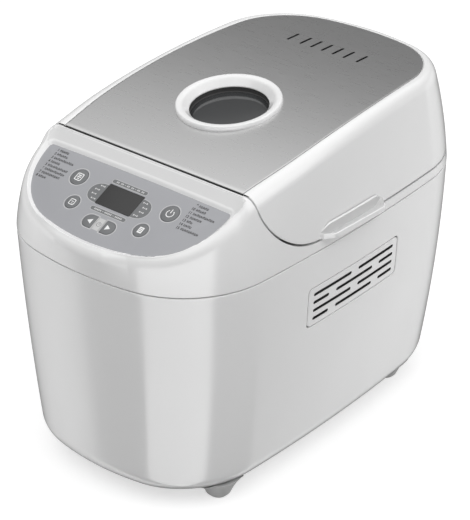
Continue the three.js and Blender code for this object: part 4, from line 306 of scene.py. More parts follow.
def from_panel(flat):
    """How far points (x, up the slope) are outside the panel's outline, and how much of the way
    there from the outline is up the slope, from -1 to 1."""
    foot, out = nearest(flat, PANEL_LOOP)
    away = flat - foot
    far = np.linalg.norm(away, axis=-1)
    return np.where((away * out).sum(-1) >= 0, far, 0), away[:, 1] / np.maximum(far, 1e-6)


def sunk(p):
    """Lowers points to the recess round the key panel. Next to the panel a bank rises steeply; past
    it a terrace rises at 45 degrees beside and below the panel, and at three tenths of that above it.
    A low bead runs along the crest."""
    q = slope_axes(p)
    d, heading = from_panel(q[..., :2].reshape(-1, 2))
    upper = smoothstep(heading, -0.5, 0.1)
    bank = d * lerp(1.0, 0.8, upper)
    terrace = LEDGE * 0.8 + (d - LEDGE) * lerp(1.0, 0.3, upper)
    rise = smooth_min(bank, terrace, 0.15).reshape(q.shape[:-1]) - 0.05
    upper = upper.reshape(rise.shape)
    bead = lerp(0.35, 0.7, upper) * np.exp(-((rise - q[..., 2] - 0.3) / lerp(0.9, 0.35, upper)) ** 2)
    q[..., 2] = smooth_min(q[..., 2], rise, 0.25) + bead
    return body_axes(q)


# ---- Meshes ----


def placed(name, data):
    """New object in the scene."""
    thing = bpy.data.objects.new(name, data)
    bpy.context.scene.collection.objects.link(thing)
    return thing


def final_mesh(thing):
    """Mesh of an object with its modifiers run, or of a text."""
    return bpy.data.meshes.new_from_object(thing.evaluated_get(bpy.context.evaluated_depsgraph_get()))


def raw_mesh(name, points, faces):
    """Mesh from points in millimetres and faces that number them."""
    mesh = bpy.data.meshes.new(name)
    mesh.from_pydata((np.asarray(points) * MM).tolist(), [], [list(map(int, face)) for face in faces])
    return mesh


def rework(mesh, *jobs):
    """Runs jobs in turn on an editable copy of a mesh, and puts it back."""
    work = bmesh.new()
    work.from_mesh(mesh)
    for job in jobs:
        job(work)
    work.to_mesh(mesh)
    work.free()


def weld(work):
    """Joins points closer than a fiftieth of a millimetre and drops faces that this leaves flat."""
    bmesh.ops.remove_doubles(work, verts=work.verts, dist=0.02 * MM)
    bmesh.ops.dissolve_degenerate(work, edges=work.edges, dist=0.002 * MM)


def face_outwards(work):
    """Turns every face to look out of its solid."""
    bmesh.ops.recalc_face_normals(work, faces=work.faces)


def soften(sharp):
    """Job that smooths faces and keeps edges crisp where the surface turns by more than sharp degrees."""
    def job(work):
        for face in work.faces:
            face.smooth = True
        for edge in work.edges:
            edge.smooth = len(edge.link_faces) != 2 or edge.calc_face_angle(0) < math.radians(sharp)
    return job


def own(name, mesh, material, body, slot, stands_for=()):
    """Piece that rides on a body and stands for CAD nodes."""
    piece = placed(name, mesh)
    mesh.materials.append(material)
    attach(piece, body)
    if stands_for:
        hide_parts(*stands_for)
    return piece


def finish_piece(name, points, faces, material, body, slot, stands_for=(), sharp=38):
    """Piece from points and faces, welded, with its faces outwards."""
    mesh = raw_mesh(name, points, faces)
    rework(mesh, weld, face_outwards, soften(sharp))
    return own(name, mesh, material, body, slot, stands_for)


def grid_faces(rows, columns, round_way, skip=None):
    """Quads of a grid of rows by columns points, closed over its columns or not."""
    r, c = np.meshgrid(np.arange(rows - 1), np.arange(columns if round_way else columns - 1), indexing="ij")
    d = (c + 1) % columns
    quads = np.stack([r * columns + c, r * columns + d, (r + 1) * columns + d, (r + 1) * columns + c], -1)
    return quads.reshape(-1, 4) if skip is None else quads[~skip]


def make_piece(name, patches, *rest, **options):
    """Piece from patches, each an array of points (rows, columns, 3), or with whether its columns
    close and which quads to leave out. The rest is as for finish_piece."""
    points, faces, base = [], [], 0
    for patch in patches:
        grid, round_way, skip = patch if isinstance(patch, tuple) else (patch, False, None)
        points.append(grid.reshape(-1, 3))
        faces.append(grid_faces(*grid.shape[:2], round_way, skip) + base)
        base += len(points[-1])
    return finish_piece(name, np.concatenate(points), np.concatenate(faces), *rest, **options)


def carve(piece, tools, sharp=38):
    """Cuts closed tools, each (points, faces), out of a closed piece."""
    points, faces, base = [], [], 0
    for tool_points, tool_faces in tools:
        points.append(tool_points)
        faces += [[i + base for i in face] for face in tool_faces]
        base += len(tool_points)
    mesh = raw_mesh("tool", np.concatenate(points), faces)
    rework(mesh, face_outwards)
    tool = placed("tool", mesh)
    cut = piece.modifiers.new("cut", "BOOLEAN")
    cut.operation, cut.solver, cut.object = "DIFFERENCE", "EXACT", tool
    result = final_mesh(piece)
    piece.modifiers.remove(cut)
    rework(result, soften(sharp))
    old, piece.data = piece.data, result
    bpy.data.meshes.remove(old)
    bpy.data.objects.remove(tool)


def faces_of(piece):
    """Middles, in millimetres, and normals of a piece's faces."""
    faces = piece.data.polygons
    return (np.array([tuple(face.center) for face in faces]) / MM,
            np.array([tuple(face.normal) for face in faces]))


def paint(piece, *coats):
    """Gives each coat's material to the faces that it picks."""
    index = np.zeros(len(piece.data.polygons), int)
    for k, (material, picked) in enumerate(coats, 1):
        piece.data.materials.append(material)
        index[picked] = k
    piece.data.polygons.foreach_set("material_index", index)


def ring_faces(n):
    """Quads between two loops of n points, the second after the first."""
    return [[i, (i + 1) % n, n + (i + 1) % n, n + i] for i in range(n)]


def prism(loop, low, high, place):
    """Closed prism over a plan loop between two levels, put in place by a function of its points."""
    n = len(loop)
    points = np.concatenate([place(raised(loop, low)), place(raised(loop, high))])
    return points, [list(range(n))[::-1], list(range(n, 2 * n))] + ring_faces(n)


def rounded_loop(width, height, r, cx, cy):
    """Rectangle with quarter-round corners, anticlockwise."""
    turn = np.linspace(0, PI / 2, 9)
    corners = [(1, -1, -PI / 2), (1, 1, 0), (-1, 1, PI / 2), (-1, -1, PI)]
    return np.concatenate([np.stack([cx + sx * (width / 2 - r) + r * np.cos(start + turn),
                                     cy + sy * (height / 2 - r) + r * np.sin(start + turn)], -1)
                           for sx, sy, start in corners])


def capsule(cx, cy, length, width, upright=False):
    """Slot outline with half-round ends, lying along its first axis or, if upright, its second."""
    r = width / 2
    turn = np.linspace(-PI / 2, PI / 2, 8)
    end = np.stack([(length / 2 - r) + r * np.cos(turn), r * np.sin(turn)], -1)
    loop = np.concatenate([end, -end])
    if upright:
        loop = np.stack([-loop[:, 1], loop[:, 0]], -1)
    return loop + [cx, cy]


def disc_loop(cx, cy, r, count):
    """Circle as a loop of so many points."""
    turn = np.arange(count) * 2 * PI / count
    return np.stack([cx + r * np.cos(turn), cy + r * np.sin(turn)], -1)


def mirrored(patch):
    """The patch across x = 0."""
    if isinstance(patch, tuple):
        return (patch[0] * [-1, 1, 1],) + patch[1:]
    return patch * [-1, 1, 1]


def turned(profile, count, place):
    """Surface of a profile of (radius, z) turned about Z and then put in place."""
    turn = np.arange(count) * 2 * PI / count
    r, z = np.asarray(profile, float).T[..., None]
    return place(np.stack(np.broadcast_arrays(r * np.cos(turn), r * np.sin(turn), z), -1)), True, None


def rounded_profile(corners, steps=5):
    """Profile of (r, z, fillet) corners with each corner rounded by its fillet, open at its ends."""
    pts = [np.array(c[:2], float) for c in corners]
    out = [pts[0]]
    for k in range(1, len(corners) - 1):
        before, here, after, fillet = pts[k - 1], pts[k], pts[k + 1], corners[k][2]
        u, w = before - here, after - here
        lu, lw = np.linalg.norm(u), np.linalg.norm(w)
        reach = min(fillet, 0.45 * lu, 0.45 * lw)
        t = np.linspace(0, 1, steps + 1)[:, None]
        a, b = here + u / lu * reach, here + w / lw * reach
        out += list((1 - t) ** 2 * a + 2 * (1 - t) * t * here + t * t * b)
    out.append(pts[-1])
    return np.array(out)


# ---- Camera, floor and light ----


def aim(thing, location, target):
    """Puts an object at one place and turns it to face another."""
    thing.location = location
    thing.rotation_euler = (Vector(target) - Vector(location)).to_track_quat("-Z", "Y").to_euler()


def softbox(name, location, target, width, height, power):
    """Rectangular lamp that faces its target."""
    lamp = bpy.data.lights.new(name, "AREA")
    lamp.shape = "RECTANGLE"
    lamp.size, lamp.size_y = width, height
    lamp.energy = power
    aim(placed(name, lamp), location, target)


camera_data = bpy.data.cameras.new("camera")
camera_data.lens = 147.74
camera_data.sensor_width = 36
camera = placed("camera", camera_data)
aim(camera, (1.0236, -1.1928, 0.9840), (0.02075, -0.03672, 0.15402))
bpy.context.scene.camera = camera
bpy.context.scene.view_settings.view_transform = "Standard"
softbox("right_wash", (1.7, 0.6, 1.3), (0, 0, 0.15), 1.4, 1.2, 9)
softbox("front_wash", (0.1, -1.9, 2.0), (0, -0.1, 0.15), 2.4, 1.2, 9)


def add(tree, kind, inputs=None, **settings):
    """New node. Each input, by name or number, is linked to a socket or set to a value."""
    node = tree.nodes.new(kind)
    for key, value in settings.items():
        setattr(node, key, value)
    for key, value in (inputs or {}).items():
        if isinstance(value, bpy.types.NodeSocket):
            tree.links.new(value, node.inputs[key])
        else:
            node.inputs[key].default_value = value
    return node


def calc(tree, operation, *values):
    """Output of one piece of arithmetic on sockets and numbers."""
    return add(tree, "ShaderNodeMath", dict(enumerate(values)), operation=operation).outputs[0]


def fade(tree, value, *limits):
    """Output that eases, as value goes from the first limit to the second, from the third to the fourth."""
    names = ("Value", "From Min", "From Max", "To Min", "To Max")
    return add(tree, "ShaderNodeMapRange", dict(zip(names, (value,) + limits)),
               interpolation_type="SMOOTHSTEP").outputs[0]


def grey_ramp(tree, value, stops):
    """Output of a colour ramp of greys from (position, level) stops."""
    ramp = add(tree, "ShaderNodeValToRGB", {0: value})
    keys = ramp.color_ramp.elements
    while len(keys) < len(stops):
        keys.new(0.5)
    for key, (position, level) in zip(keys, stops):
        key.position = position
        key.color = (level, level, level, 1)
    return ramp.outputs[0]


# Levels of the sky by height, from 0 straight down to 1 straight up, and where it starts.
SKY = [(0.0, 0.123), (0.3, 0.13), (0.47, 0.13), (0.58, 0.25), (0.72, 0.67), (0.87, 0.92), (1.0, 1.0)]
SKY_LEVEL = 1.95
SKY_START = (-0.22, 0.02)
OVERHEAD = (0.88, 0.99, 0.0, 1.1)  # what reflections lose of the sky's level, straight above
# Levels of the bands by bearing in degrees, where 0 is ahead and 90 is right, and where they end.
BANDS = [(-180, 1.2), (-160, 0.05), (-125, 0.05), (-105, 0.6), (-80, 1.4), (-62, 2.3), (-50, 2.3), (-44, 0.2),
         (-13, 0.2), (-8, 4.2), (68, 4.8), (76, 0.2), (136, 0.2), (144, 1.0), (158, 1.9), (180, 1.2)]
BAND_LEVEL = 5.0
BANDS_END = (-0.05, 0.25)


def studio_light():
    """Soft sky that is dim at the horizon and bright overhead. Low down, where only reflections show
    them, upright bands of light stand round the body. The camera itself sees plain white."""
    world = bpy.data.worlds.new("studio")
    bpy.context.scene.world = world
    world.use_nodes = True
    tree = world.node_tree
    tree.nodes.clear()
    split = add(tree, "ShaderNodeSeparateXYZ", {0: add(tree, "ShaderNodeTexCoord").outputs["Generated"]})
    right, back, up = split.outputs
    path = add(tree, "ShaderNodeLightPath")
    glossy = path.outputs["Is Glossy Ray"]
    bearing = calc(tree, "ARCTAN2", right, calc(tree, "MULTIPLY", back, -1.0))
    turn = calc(tree, "MULTIPLY_ADD", bearing, 0.5 / PI, 0.5)
    bands = grey_ramp(tree, turn, [((degrees + 180) / 360, level / BAND_LEVEL) for degrees, level in BANDS])
    low = calc(tree, "MULTIPLY", calc(tree, "MULTIPLY", bands, glossy), BAND_LEVEL)
    lost = calc(tree, "MULTIPLY", fade(tree, up, *OVERHEAD), glossy)
    high = calc(tree, "MULTIPLY", grey_ramp(tree, up, SKY), calc(tree, "SUBTRACT", SKY_LEVEL, lost))
    level = calc(tree, "ADD", calc(tree, "MULTIPLY", low, fade(tree, up, *BANDS_END, 1, 0)),
                 calc(tree, "MULTIPLY", high, fade(tree, up, *SKY_START, 0, 1)))
    light = add(tree, "ShaderNodeBackground", {"Strength": level})
    plain = add(tree, "ShaderNodeBackground", {"Color": (1, 1, 1, 1)})
    mix = add(tree, "ShaderNodeMixShader",
              {0: path.outputs["Is Camera Ray"], 1: light.outputs[0], 2: plain.outputs[0]})
    add(tree, "ShaderNodeOutputWorld", {0: mix.outputs[0]})


studio_light()

# ---- Materials ----


def grey(level, warm=0.0, rose=0.0):
    """Linear colour of a screen grey from 0 to 255, a touch warmer or cooler, or away from green."""
    def linear(c):
        c = c / 255
        return c / 12.92 if c <= 0.04045 else ((c + 0.055) / 1.055) ** 2.4
    return (linear(level + warm), linear(level - rose), linear(level - warm), 1)


def finish_group():
    """Mottled finish: two colours and two roughnesses mixed by soft noise, and a fine grain bump."""
    g = bpy.data.node_groups.new("finish", "ShaderNodeTree")
    sockets = {"INPUT": dict(Light="Color", Dark="Color", Patch="Float", Smooth="Float", Rough="Float",
                             Grain="Float", Depth="Float", Stretch="Vector"),
               "OUTPUT": dict(Color="Color", Roughness="Float", Normal="Vector")}
    for in_out, kinds in sockets.items():
        for name, kind in kinds.items():
            g.interface.new_socket(name, in_out=in_out, socket_type="NodeSocket" + kind)
    given = add(g, "NodeGroupInput").outputs
    place = add(g, "ShaderNodeTexCoord").outputs["Object"]
    place = add(g, "ShaderNodeVectorMath", {0: place, 1: given["Stretch"]}, operation="MULTIPLY").outputs[0]
    patch, grain = (add(g, "ShaderNodeTexNoise", {"Vector": place, "Scale": given[scale], "Detail": detail})
                    .outputs["Fac"] for scale, detail in (("Patch", 3), ("Grain", 2)))
    tint = add(g, "ShaderNodeMix", {"Factor": patch, "A": given["Light"], "B": given["Dark"]},
               data_type="RGBA")
    spread = add(g, "ShaderNodeMapRange", {"Value": patch, "From Min": 0.3, "From Max": 0.7,
                                           "To Min": given["Smooth"], "To Max": given["Rough"]})
    bump = add(g, "ShaderNodeBump", {"Strength": given["Depth"], "Distance": 0.0002, "Height": grain})
    add(g, "NodeGroupOutput",
        {"Color": tint.outputs["Result"], "Roughness": spread.outputs[0], "Normal": bump.outputs[0]})
    return g


FINISH = finish_group()


def finish(name, light, dark, smooth, rough, patch=18.0, grain=900.0, depth=0.06, stretch=(1, 1, 1),
           **shader):
    """Material from the mottled finish. Other numbers go straight to the shader's own sockets."""
    material = bpy.data.materials.new(name)
    material.use_nodes = True
    tree = material.node_tree
    tree.nodes.clear()
    look = add(tree, "ShaderNodeGroup", node_tree=FINISH)
    for key, value in dict(Light=light, Dark=dark, Patch=patch, Smooth=smooth, Rough=rough, Grain=grain,
                           Depth=depth, Stretch=stretch).items():
        look.inputs[key].default_value = value
    surface = add(tree, "ShaderNodeBsdfPrincipled",
                  {"Base Color": look.outputs["Color"], "Roughness": look.outputs["Roughness"],
                   "Normal": look.outputs["Normal"]})
    for key, value in shader.items():
        surface.inputs[key.replace("_", " ")].default_value = value
    add(tree, "ShaderNodeOutputMaterial", {0: surface.outputs[0]})
    return material


def brighten(material, level):
    """Adds a plain glow that only the camera sees, so that a floor is white and keeps its shadow."""
    tree = material.node_tree
    out = next(node for node in tree.nodes if node.type == "OUTPUT_MATERIAL")
    seen = add(tree, "ShaderNodeLightPath").outputs["Is Camera Ray"]
    glow = add(tree, "ShaderNodeEmission", {"Strength": calc(tree, "MULTIPLY", seen, level)})
    surface = out.inputs["Surface"].links[0].from_socket
    both = add(tree, "ShaderNodeAddShader", {0: surface, 1: glow.outputs[0]})
    tree.links.new(both.outputs[0], out.inputs["Surface"])


GLOSS_WHITE = finish("gloss_white", grey(245), grey(242), 0.16, 0.24, depth=0.03, Coat_Weight=0.25,
                     Coat_Roughness=0.08)
SATIN_WHITE = finish("satin_white", grey(228), grey(223), 0.35, 0.5)
# Darker white for the terrace above the key panel: painted shade, with a satin roughness.
BAND_SHADE = finish("band_painted_shade", grey(227), grey(224), 0.3, 0.36, grain=1500, depth=0.08)
# Darker white for the finger troughs: painted shade, with a matt roughness.
GRIP_SHADE = finish("grip_painted_shade", grey(226), grey(221), 0.45, 0.55, grain=1500, depth=0.12)
FOOT_GREY = finish("foot_grey", grey(196), grey(186), 0.45, 0.6, depth=0.15)
BLACK = finish("black_plastic", grey(46), grey(38), 0.4, 0.55, depth=0.15)
# Dark grey: painted shade in the grille's slots and in the gap under the plate's front edge, and the window
# retainer's own dark plastic.
SHADE_AND_RETAINER_GREY = finish("slot_shade", grey(66), grey(58), 0.6, 0.75, depth=0.1)
PANEL_GREY = finish("panel_film", grey(168, -2.3, 1.6), grey(165, -2.3, 1.6), 0.42, 0.5, grain=1600,
                    depth=0.1)
KEY_GREY = finish("key_plastic", grey(120, -1.5), grey(115, -1.5), 0.42, 0.5)
PRINT_LIGHT = finish("print_light", grey(222), grey(216), 0.45, 0.55)
PRINT_PALE = finish("print_pale", grey(204), grey(198), 0.45, 0.55)
PRINT_WHITE = finish("print_white", grey(244), grey(238), 0.45, 0.55)
PRINT_DARK = finish("print_dark", grey(60), grey(54), 0.45, 0.55)
DISPLAY = finish("display_lens", grey(34), grey(30), 0.14, 0.2, depth=0.01)
GLASS = finish("window_glass", grey(62, -1), grey(56, -1), 0.05, 0.08, depth=0.0)
BRUSHED = finish("brushed_steel", grey(215), grey(212), 0.27, 0.31, patch=900, grain=1500, depth=0.045,
                 stretch=(0.07, 1, 1), Metallic=1.0)
SHEET = finish("sheet_steel", grey(190), grey(176), 0.32, 0.45, patch=40, depth=0.1, Metallic=1.0)
ALUMINIUM = finish("cast_aluminium", grey(205), grey(194), 0.35, 0.5, depth=0.2, Metallic=1.0)
BRIGHT = finish("bright_steel", grey(200), grey(188), 0.16, 0.26, Metallic=1.0)
HEATER = finish("heater_steel", grey(112, 4), grey(92, 4), 0.35, 0.5, depth=0.15, Metallic=1.0)
NON_STICK = finish("non_stick", grey(74), grey(62), 0.38, 0.5, grain=1400, depth=0.2)
SILICONE = finish("seal_silicone", grey(206, 2), grey(198, 2), 0.6, 0.75)
RUBBER = finish("belt_rubber", grey(34), grey(28), 0.7, 0.85, depth=0.2)
BOARD = finish("circuit_board", (0.03, 0.16, 0.07, 1), (0.02, 0.12, 0.05, 1), 0.35, 0.5)
FLOOR = finish("floor", grey(190), grey(188), 0.9, 0.95, patch=2.0, depth=0.0)
brighten(FLOOR, 0.62)
WHITE_BODY = (GLOSS_WHITE, "housing", "white_plastic")
WHITE_LID = (GLOSS_WHITE, "lid", "white_plastic")

floor_mesh = bpy.data.meshes.new("floor")
floor_mesh.from_pydata([(-6, -6, 0), (6, -6, 0), (6, 6, 0), (-6, 6, 0)], [], [(0, 1, 2, 3)])
floor_mesh.materials.append(FLOOR)
floor = placed("floor", floor_mesh)
floor.visible_glossy = False

# ---- Lower shell: leaning walls round the belt plan, a rounded bottom edge and two grille windows ----

AROUND = steps((36, 50, 90, 44, 30))
GRILLE = np.array([FRONT_Y + 197.2, SEAM_Z - 49.5])  # its middle, as (y, z)
GRILLE_SIZE = np.array([119.6, 35.3])
GRILLE_R, GRILLE_THICK = 4.0, 1.6


def draft(z, inset):
    """How the plan has drawn in at height z, moved inwards by inset: its scale in x, its scale in y and
    how far back its front stands."""
    down = (SEAM_Z - z) / HEIGHT
    side, front, rear = (slope * down + bow * down ** 2
                         for slope, bow in ((4.2, 11.2), (8.8, 2.3), (3.9, 12)))
    return (HALF_WIDTH - side - inset) / HALF_WIDTH, (DEPTH - front - rear - 2 * inset) / DEPTH, front + inset


def wall_point(belt, z, inset=0.0):
    """Point of the wall at height z for points of the belt plan, moved inwards by inset."""
    kx, ky, back = draft(z, inset)
    y = FRONT_Y + back + (belt[..., 1] - FRONT_Y) * ky
    return np.stack(np.broadcast_arrays(belt[..., 0] * kx, y, z), -1)


def side_x(y, z):
    """How far the side wall stands from the middle plane at (y, z)."""
    kx, ky, back = draft(z, 0)
    along = (y - FRONT_Y - back) / ky + FRONT_Y
    r = BELT_SPEC["side_r"]
    return (HALF_WIDTH - r + np.sqrt(r * r - (along - BELT_SPEC["widest_y"]) ** 2)) * kx


def round_out(p, half, r, grow=0.0):
    """Moves points outside a rectangle onto its rounded outline, grown by grow."""
    core = np.clip(p, -(half - r), half - r)
    away = p - core
    return core + away / np.linalg.norm(away, axis=-1, keepdims=True) * (r + grow)


def window_patch(outer):
    """Ring from a loop of shell points, as (y, z), to the rounded window and its inward edge."""
    rings = [(outer, 0)]
    for grow, depth in ((3.5, 0), (1.2, 0), (0.6, 0), (0.25, 0.07), (0.06, 0.25), (0, 0.6), (0, 2.6)):
        ring = GRILLE + round_out(outer - GRILLE, GRILLE_SIZE / 2 + 0.5, GRILLE_R + 0.3, grow)
        rings.append((ring, depth))
    return np.array([np.column_stack([side_x(*flat.T) - depth, flat]) for flat, depth in rings])


def lower_shell():
    """Rows run from an inner return at the seam over the rounded edge, down the wall, round the bottom
    edge and in under the body. A block of quads on each side makes way for the grille's window."""
    top, edge = SEAM_Z - SEAM_GAP, 0.5
    wall_low = BOTTOM_Z + BOTTOM_ROUND
    block = 26.0  # half the height of the block
    low_window, high_window = GRILLE[1] - block, GRILLE[1] + block
    levels = [(top - 9, WALL), (top, WALL), (top, 0.9)]
    levels += [(top - edge + edge * math.sin(t), edge * (1 - math.cos(t))) for t in np.linspace(PI / 2, 0, 5)]
    for start, end, n in ((top - edge, high_window, 8), (high_window, low_window, 14),
                          (low_window, wall_low, 14)):
        levels += [(z, 0.0) for z in np.linspace(start, end, n + 1)[1:]]
    levels += [(wall_low - BOTTOM_ROUND * math.sin(t), BOTTOM_ROUND * (1 - math.cos(t)))
               for t in np.linspace(0, PI / 2, 13)[1:]]
    levels += [(BOTTOM_Z + 2.8, BOTTOM_ROUND + 0.3), (BOTTOM_Z + 2.8, BOTTOM_ROUND + 11)]
    belt = BELT(AROUND)
    half = np.array([wall_point(belt, z, inset) for z, inset in levels])
    half[:, [0, -1], 0] = 0
    grid = np.concatenate([half, half[:, 1:-1][:, ::-1] * [-1, 1, 1]], 1)
    rows = [k for k, (z, inset) in enumerate(levels)
            if inset == 0 and low_window - 0.01 <= z <= high_window + 0.01]
    columns = np.nonzero(np.abs(belt[:, 1] - GRILLE[0]) < GRILLE_SIZE[0] / 2 + 8)[0]
    r0, r1, c0, c1 = rows[0], rows[-1], columns[0], columns[-1]
    n = grid.shape[1]
    skip = np.zeros((len(levels) - 1, n), bool)
    skip[r0:r1, c0:c1] = True
    skip[r0:r1, n - c1:n - c0] = True
    patch = (window_patch(perimeter(grid[r0:r1 + 1, c0:c1 + 1, 1:])), True, None)
    make_piece("lower_shell_skin", [(grid, True, skip), patch, mirrored(patch)], *WHITE_BODY, ["lower_shell"])


def perimeter(grid):
    """The border of a grid of points, once round."""
    return np.concatenate([grid[0, :-1], grid[:-1, -1], grid[-1, :0:-1], grid[:0:-1, 0]])


lower_shell()


def shade_slots(piece, side):
    """Paints the slots' own walls and the plate's back dark grey as painted shade, in place of the shade of
    the space behind.
    """
    middles, normals = faces_of(piece)
    within = (np.abs(middles[:, 1:] - GRILLE) < GRILLE_SIZE / 2 - 2.0).all(-1)
    paint(piece, (SHADE_AND_RETAINER_GREY, within & (normals[:, 0] * side < 0.7)))


def side_grille(side, name):
    """Rounded plate that follows the wall, its front edge eased, with rows of slots cut through."""
    def face(trim, depth, r):
        length, height = GRILLE_SIZE - 2 * trim
        straight = length / 2 - r
        end = np.sin(np.linspace(-PI / 2, PI / 2, 9)[4:]) * r
        y = np.linspace(-straight, straight, 42)[1:-1]
        y = np.concatenate([-straight - end[::-1], y, straight + end])
        over = np.maximum(np.abs(y) - straight, 0)
        reach = height / 2 - r + np.sqrt(np.maximum(r * r - over ** 2, 0))
        z = np.linspace(-1, 1, 12)[:, None] * reach + GRILLE[1]
        y = np.broadcast_to(y, z.shape) + GRILLE[0]
        return np.stack([side * (side_x(y, z) - depth), y, z], -1)

    rows = [perimeter(face(0.5 + trim, depth, GRILLE_R - trim))
            for trim, depth in ((0.45, 0), (0.2, 0.07), (0.05, 0.2), (0, 0.45), (0, GRILLE_THICK))]
    patches = [face(0.95, 0, GRILLE_R - 0.45), (np.array(rows), True, None),
               face(0.5, GRILLE_THICK, GRILLE_R)]
    piece = make_piece(name + "_plate", patches, *WHITE_BODY, [name])
    short, long, space, height, pitch = 19.8, 48.7, 9.3, 2.8, 7.3
    tools = []
    for row in range(4):
        lengths = [long, long] if row % 2 == 0 else [short, long, short]
        y = GRILLE[0] - (sum(lengths) + space * (len(lengths) - 1)) / 2
        z = GRILLE[1] + (1.5 - row) * pitch
        for length in lengths:
            slot = capsule(y + length / 2, z, length, height)
            tools.append(prism(slot, 60, 130, lambda p: p[:, [2, 0, 1]] * [side, 1, 1]))
            y += length + space
    carve(piece, tools)
    shade_slots(piece, side)


side_grille(1, "side_grille_right")
side_grille(-1, "side_grille_left")

# ---- Upper housing and lid shell: one skin parted along the sweep and the rim ----


def arc_rows(point, outward, across):
    """Rounded edge from a face with normal outward over to a face with normal across."""
    t = np.linspace(0, PI / 2, 5)[:, None, None]
    return point - outward * EDGE + EDGE * (outward * np.cos(t) + across * np.sin(t))


def with_x(vectors):
    """Directions in the (y, z) plane as directions in space."""
    return np.concatenate([np.zeros(vectors.shape[:-1] + (1,)), vectors], -1)


def parting(gap, towards_lid):
    """Right half of the parting line, where the skin stops short of it by the edge's rounding: its
    places as a and v, the direction across it, and how many of them lie on the sweep."""
    curve, across = sweep(gap, 64)
    sign = 1 if towards_lid else -1
    curve = curve + sign * EDGE * across
    a, v = skin_place(curve[:, 0], curve[:, 1])
    level = RIM_Z + gap + sign * EDGE
    a_rest = np.concatenate([np.linspace(a[-1], 3, 40)[1:], 3 + np.arange(1, 45) / 44,
                             4 + np.arange(1, 31) / 30])
    v_rest = halving(lambda q: skin(a_rest, q)[..., 2], np.full(a_rest.shape, level), 0, 2)
    a, v = np.concatenate([a, a_rest]), np.concatenate([v, v_rest])
    up = np.broadcast_to([0.0, 1.0], (len(a_rest), 2))
    return a, v, with_x(np.concatenate([across, up]) * sign), len(curve)


def pocket_at(edge, a, n_sweep):
    """Points of the deck's side wall, in plan, that match points of the parting edge."""
    start = halving(lambda q: POCKET(q)[..., 1], edge[:n_sweep, 1], 0.5, 4)
    rest = start[-1] + (5 - start[-1]) * (a[n_sweep:] - a[n_sweep - 1]) / (5 - a[n_sweep - 1])
    return POCKET(np.concatenate([start, rest]))


def edge_rows(edge, a, v, across, n_sweep):
    """Rows of the rounded parting edge and the head of the wall inside it, and that wall in plan."""
    rolled = arc_rows(edge, skin_normal(a, v), across)
    wall = pocket_at(rolled[-1], a, n_sweep)
    return np.array([*rolled, raised(wall, rolled[-1][:, 2])]), wall


def seam_rows(a):
    """The housing's lower edge: inner return, underside and rounded outer corner."""
    h = 1e-3
    along = BELT(np.minimum(a + h, 5)) - BELT(np.maximum(a - h, 0))
    out = np.stack([along[:, 1], -along[:, 0]], -1) / np.linalg.norm(along, axis=-1)[:, None]
    levels = [(WALL, 7), (WALL, 0), (0.9, 0)]
    levels += [(0.5 * (1 - math.sin(t)), 0.5 * (1 - math.cos(t))) for t in np.linspace(0, PI / 2, 5)[:-1]]
    return np.array([raised(BELT(a) - out * inset, SEAM_Z + up) for inset, up in levels])


def knuckle(x0, x1, web):
    """Rod on the hinge's axis with eased ends, and a slab between the same planes over a loop of
    (y, z) from that axis, which joins it to its shell."""
    edge = 0.5
    end = [(0, 0), (0, HINGE_R - edge), (0.3 * edge, HINGE_R - 0.3 * edge), (edge, HINGE_R)]
    profile = [(x0 + x, r) for x, r in end] + [(x1 - x, r) for x, r in end[::-1]]
    turn = np.arange(40) * 2 * PI / 40
    circle = np.stack([np.cos(turn), np.sin(turn)], -1)
    web = np.array(web, float)
    middle = np.broadcast_to(web.mean(0), web.shape)

    def across(*rings):
        return np.array([np.column_stack([np.full(len(ring), x), ring + [HINGE_Y, HINGE_Z]])
                         for x, ring in rings]), True, None

    return [across(*((x, r * circle) for x, r in profile)),
            across((x0, middle), (x0, web), (x1, web), (x1, middle))]


def shade_band(piece):
    """Gives the flat terrace above the key panel a darker white as painted shade, with a satin roughness of
    its own.
    """
    middles, normals = faces_of(piece)
    q = slope_axes(middles)
    far, heading = from_panel(q[:, :2])
    facing = normals @ (0, -math.sin(TILT), math.cos(TILT))
    paint(piece, (BAND_SHADE, (heading > 0.3) & (far > LEDGE + 1.8) & (facing > 0.93) & (facing < 0.98)
                  & (q[:, 2] > -2) & (q[:, 2] < 12) & (middles[:, 1] < CONSOLE_REAR_Y - 2.6)))


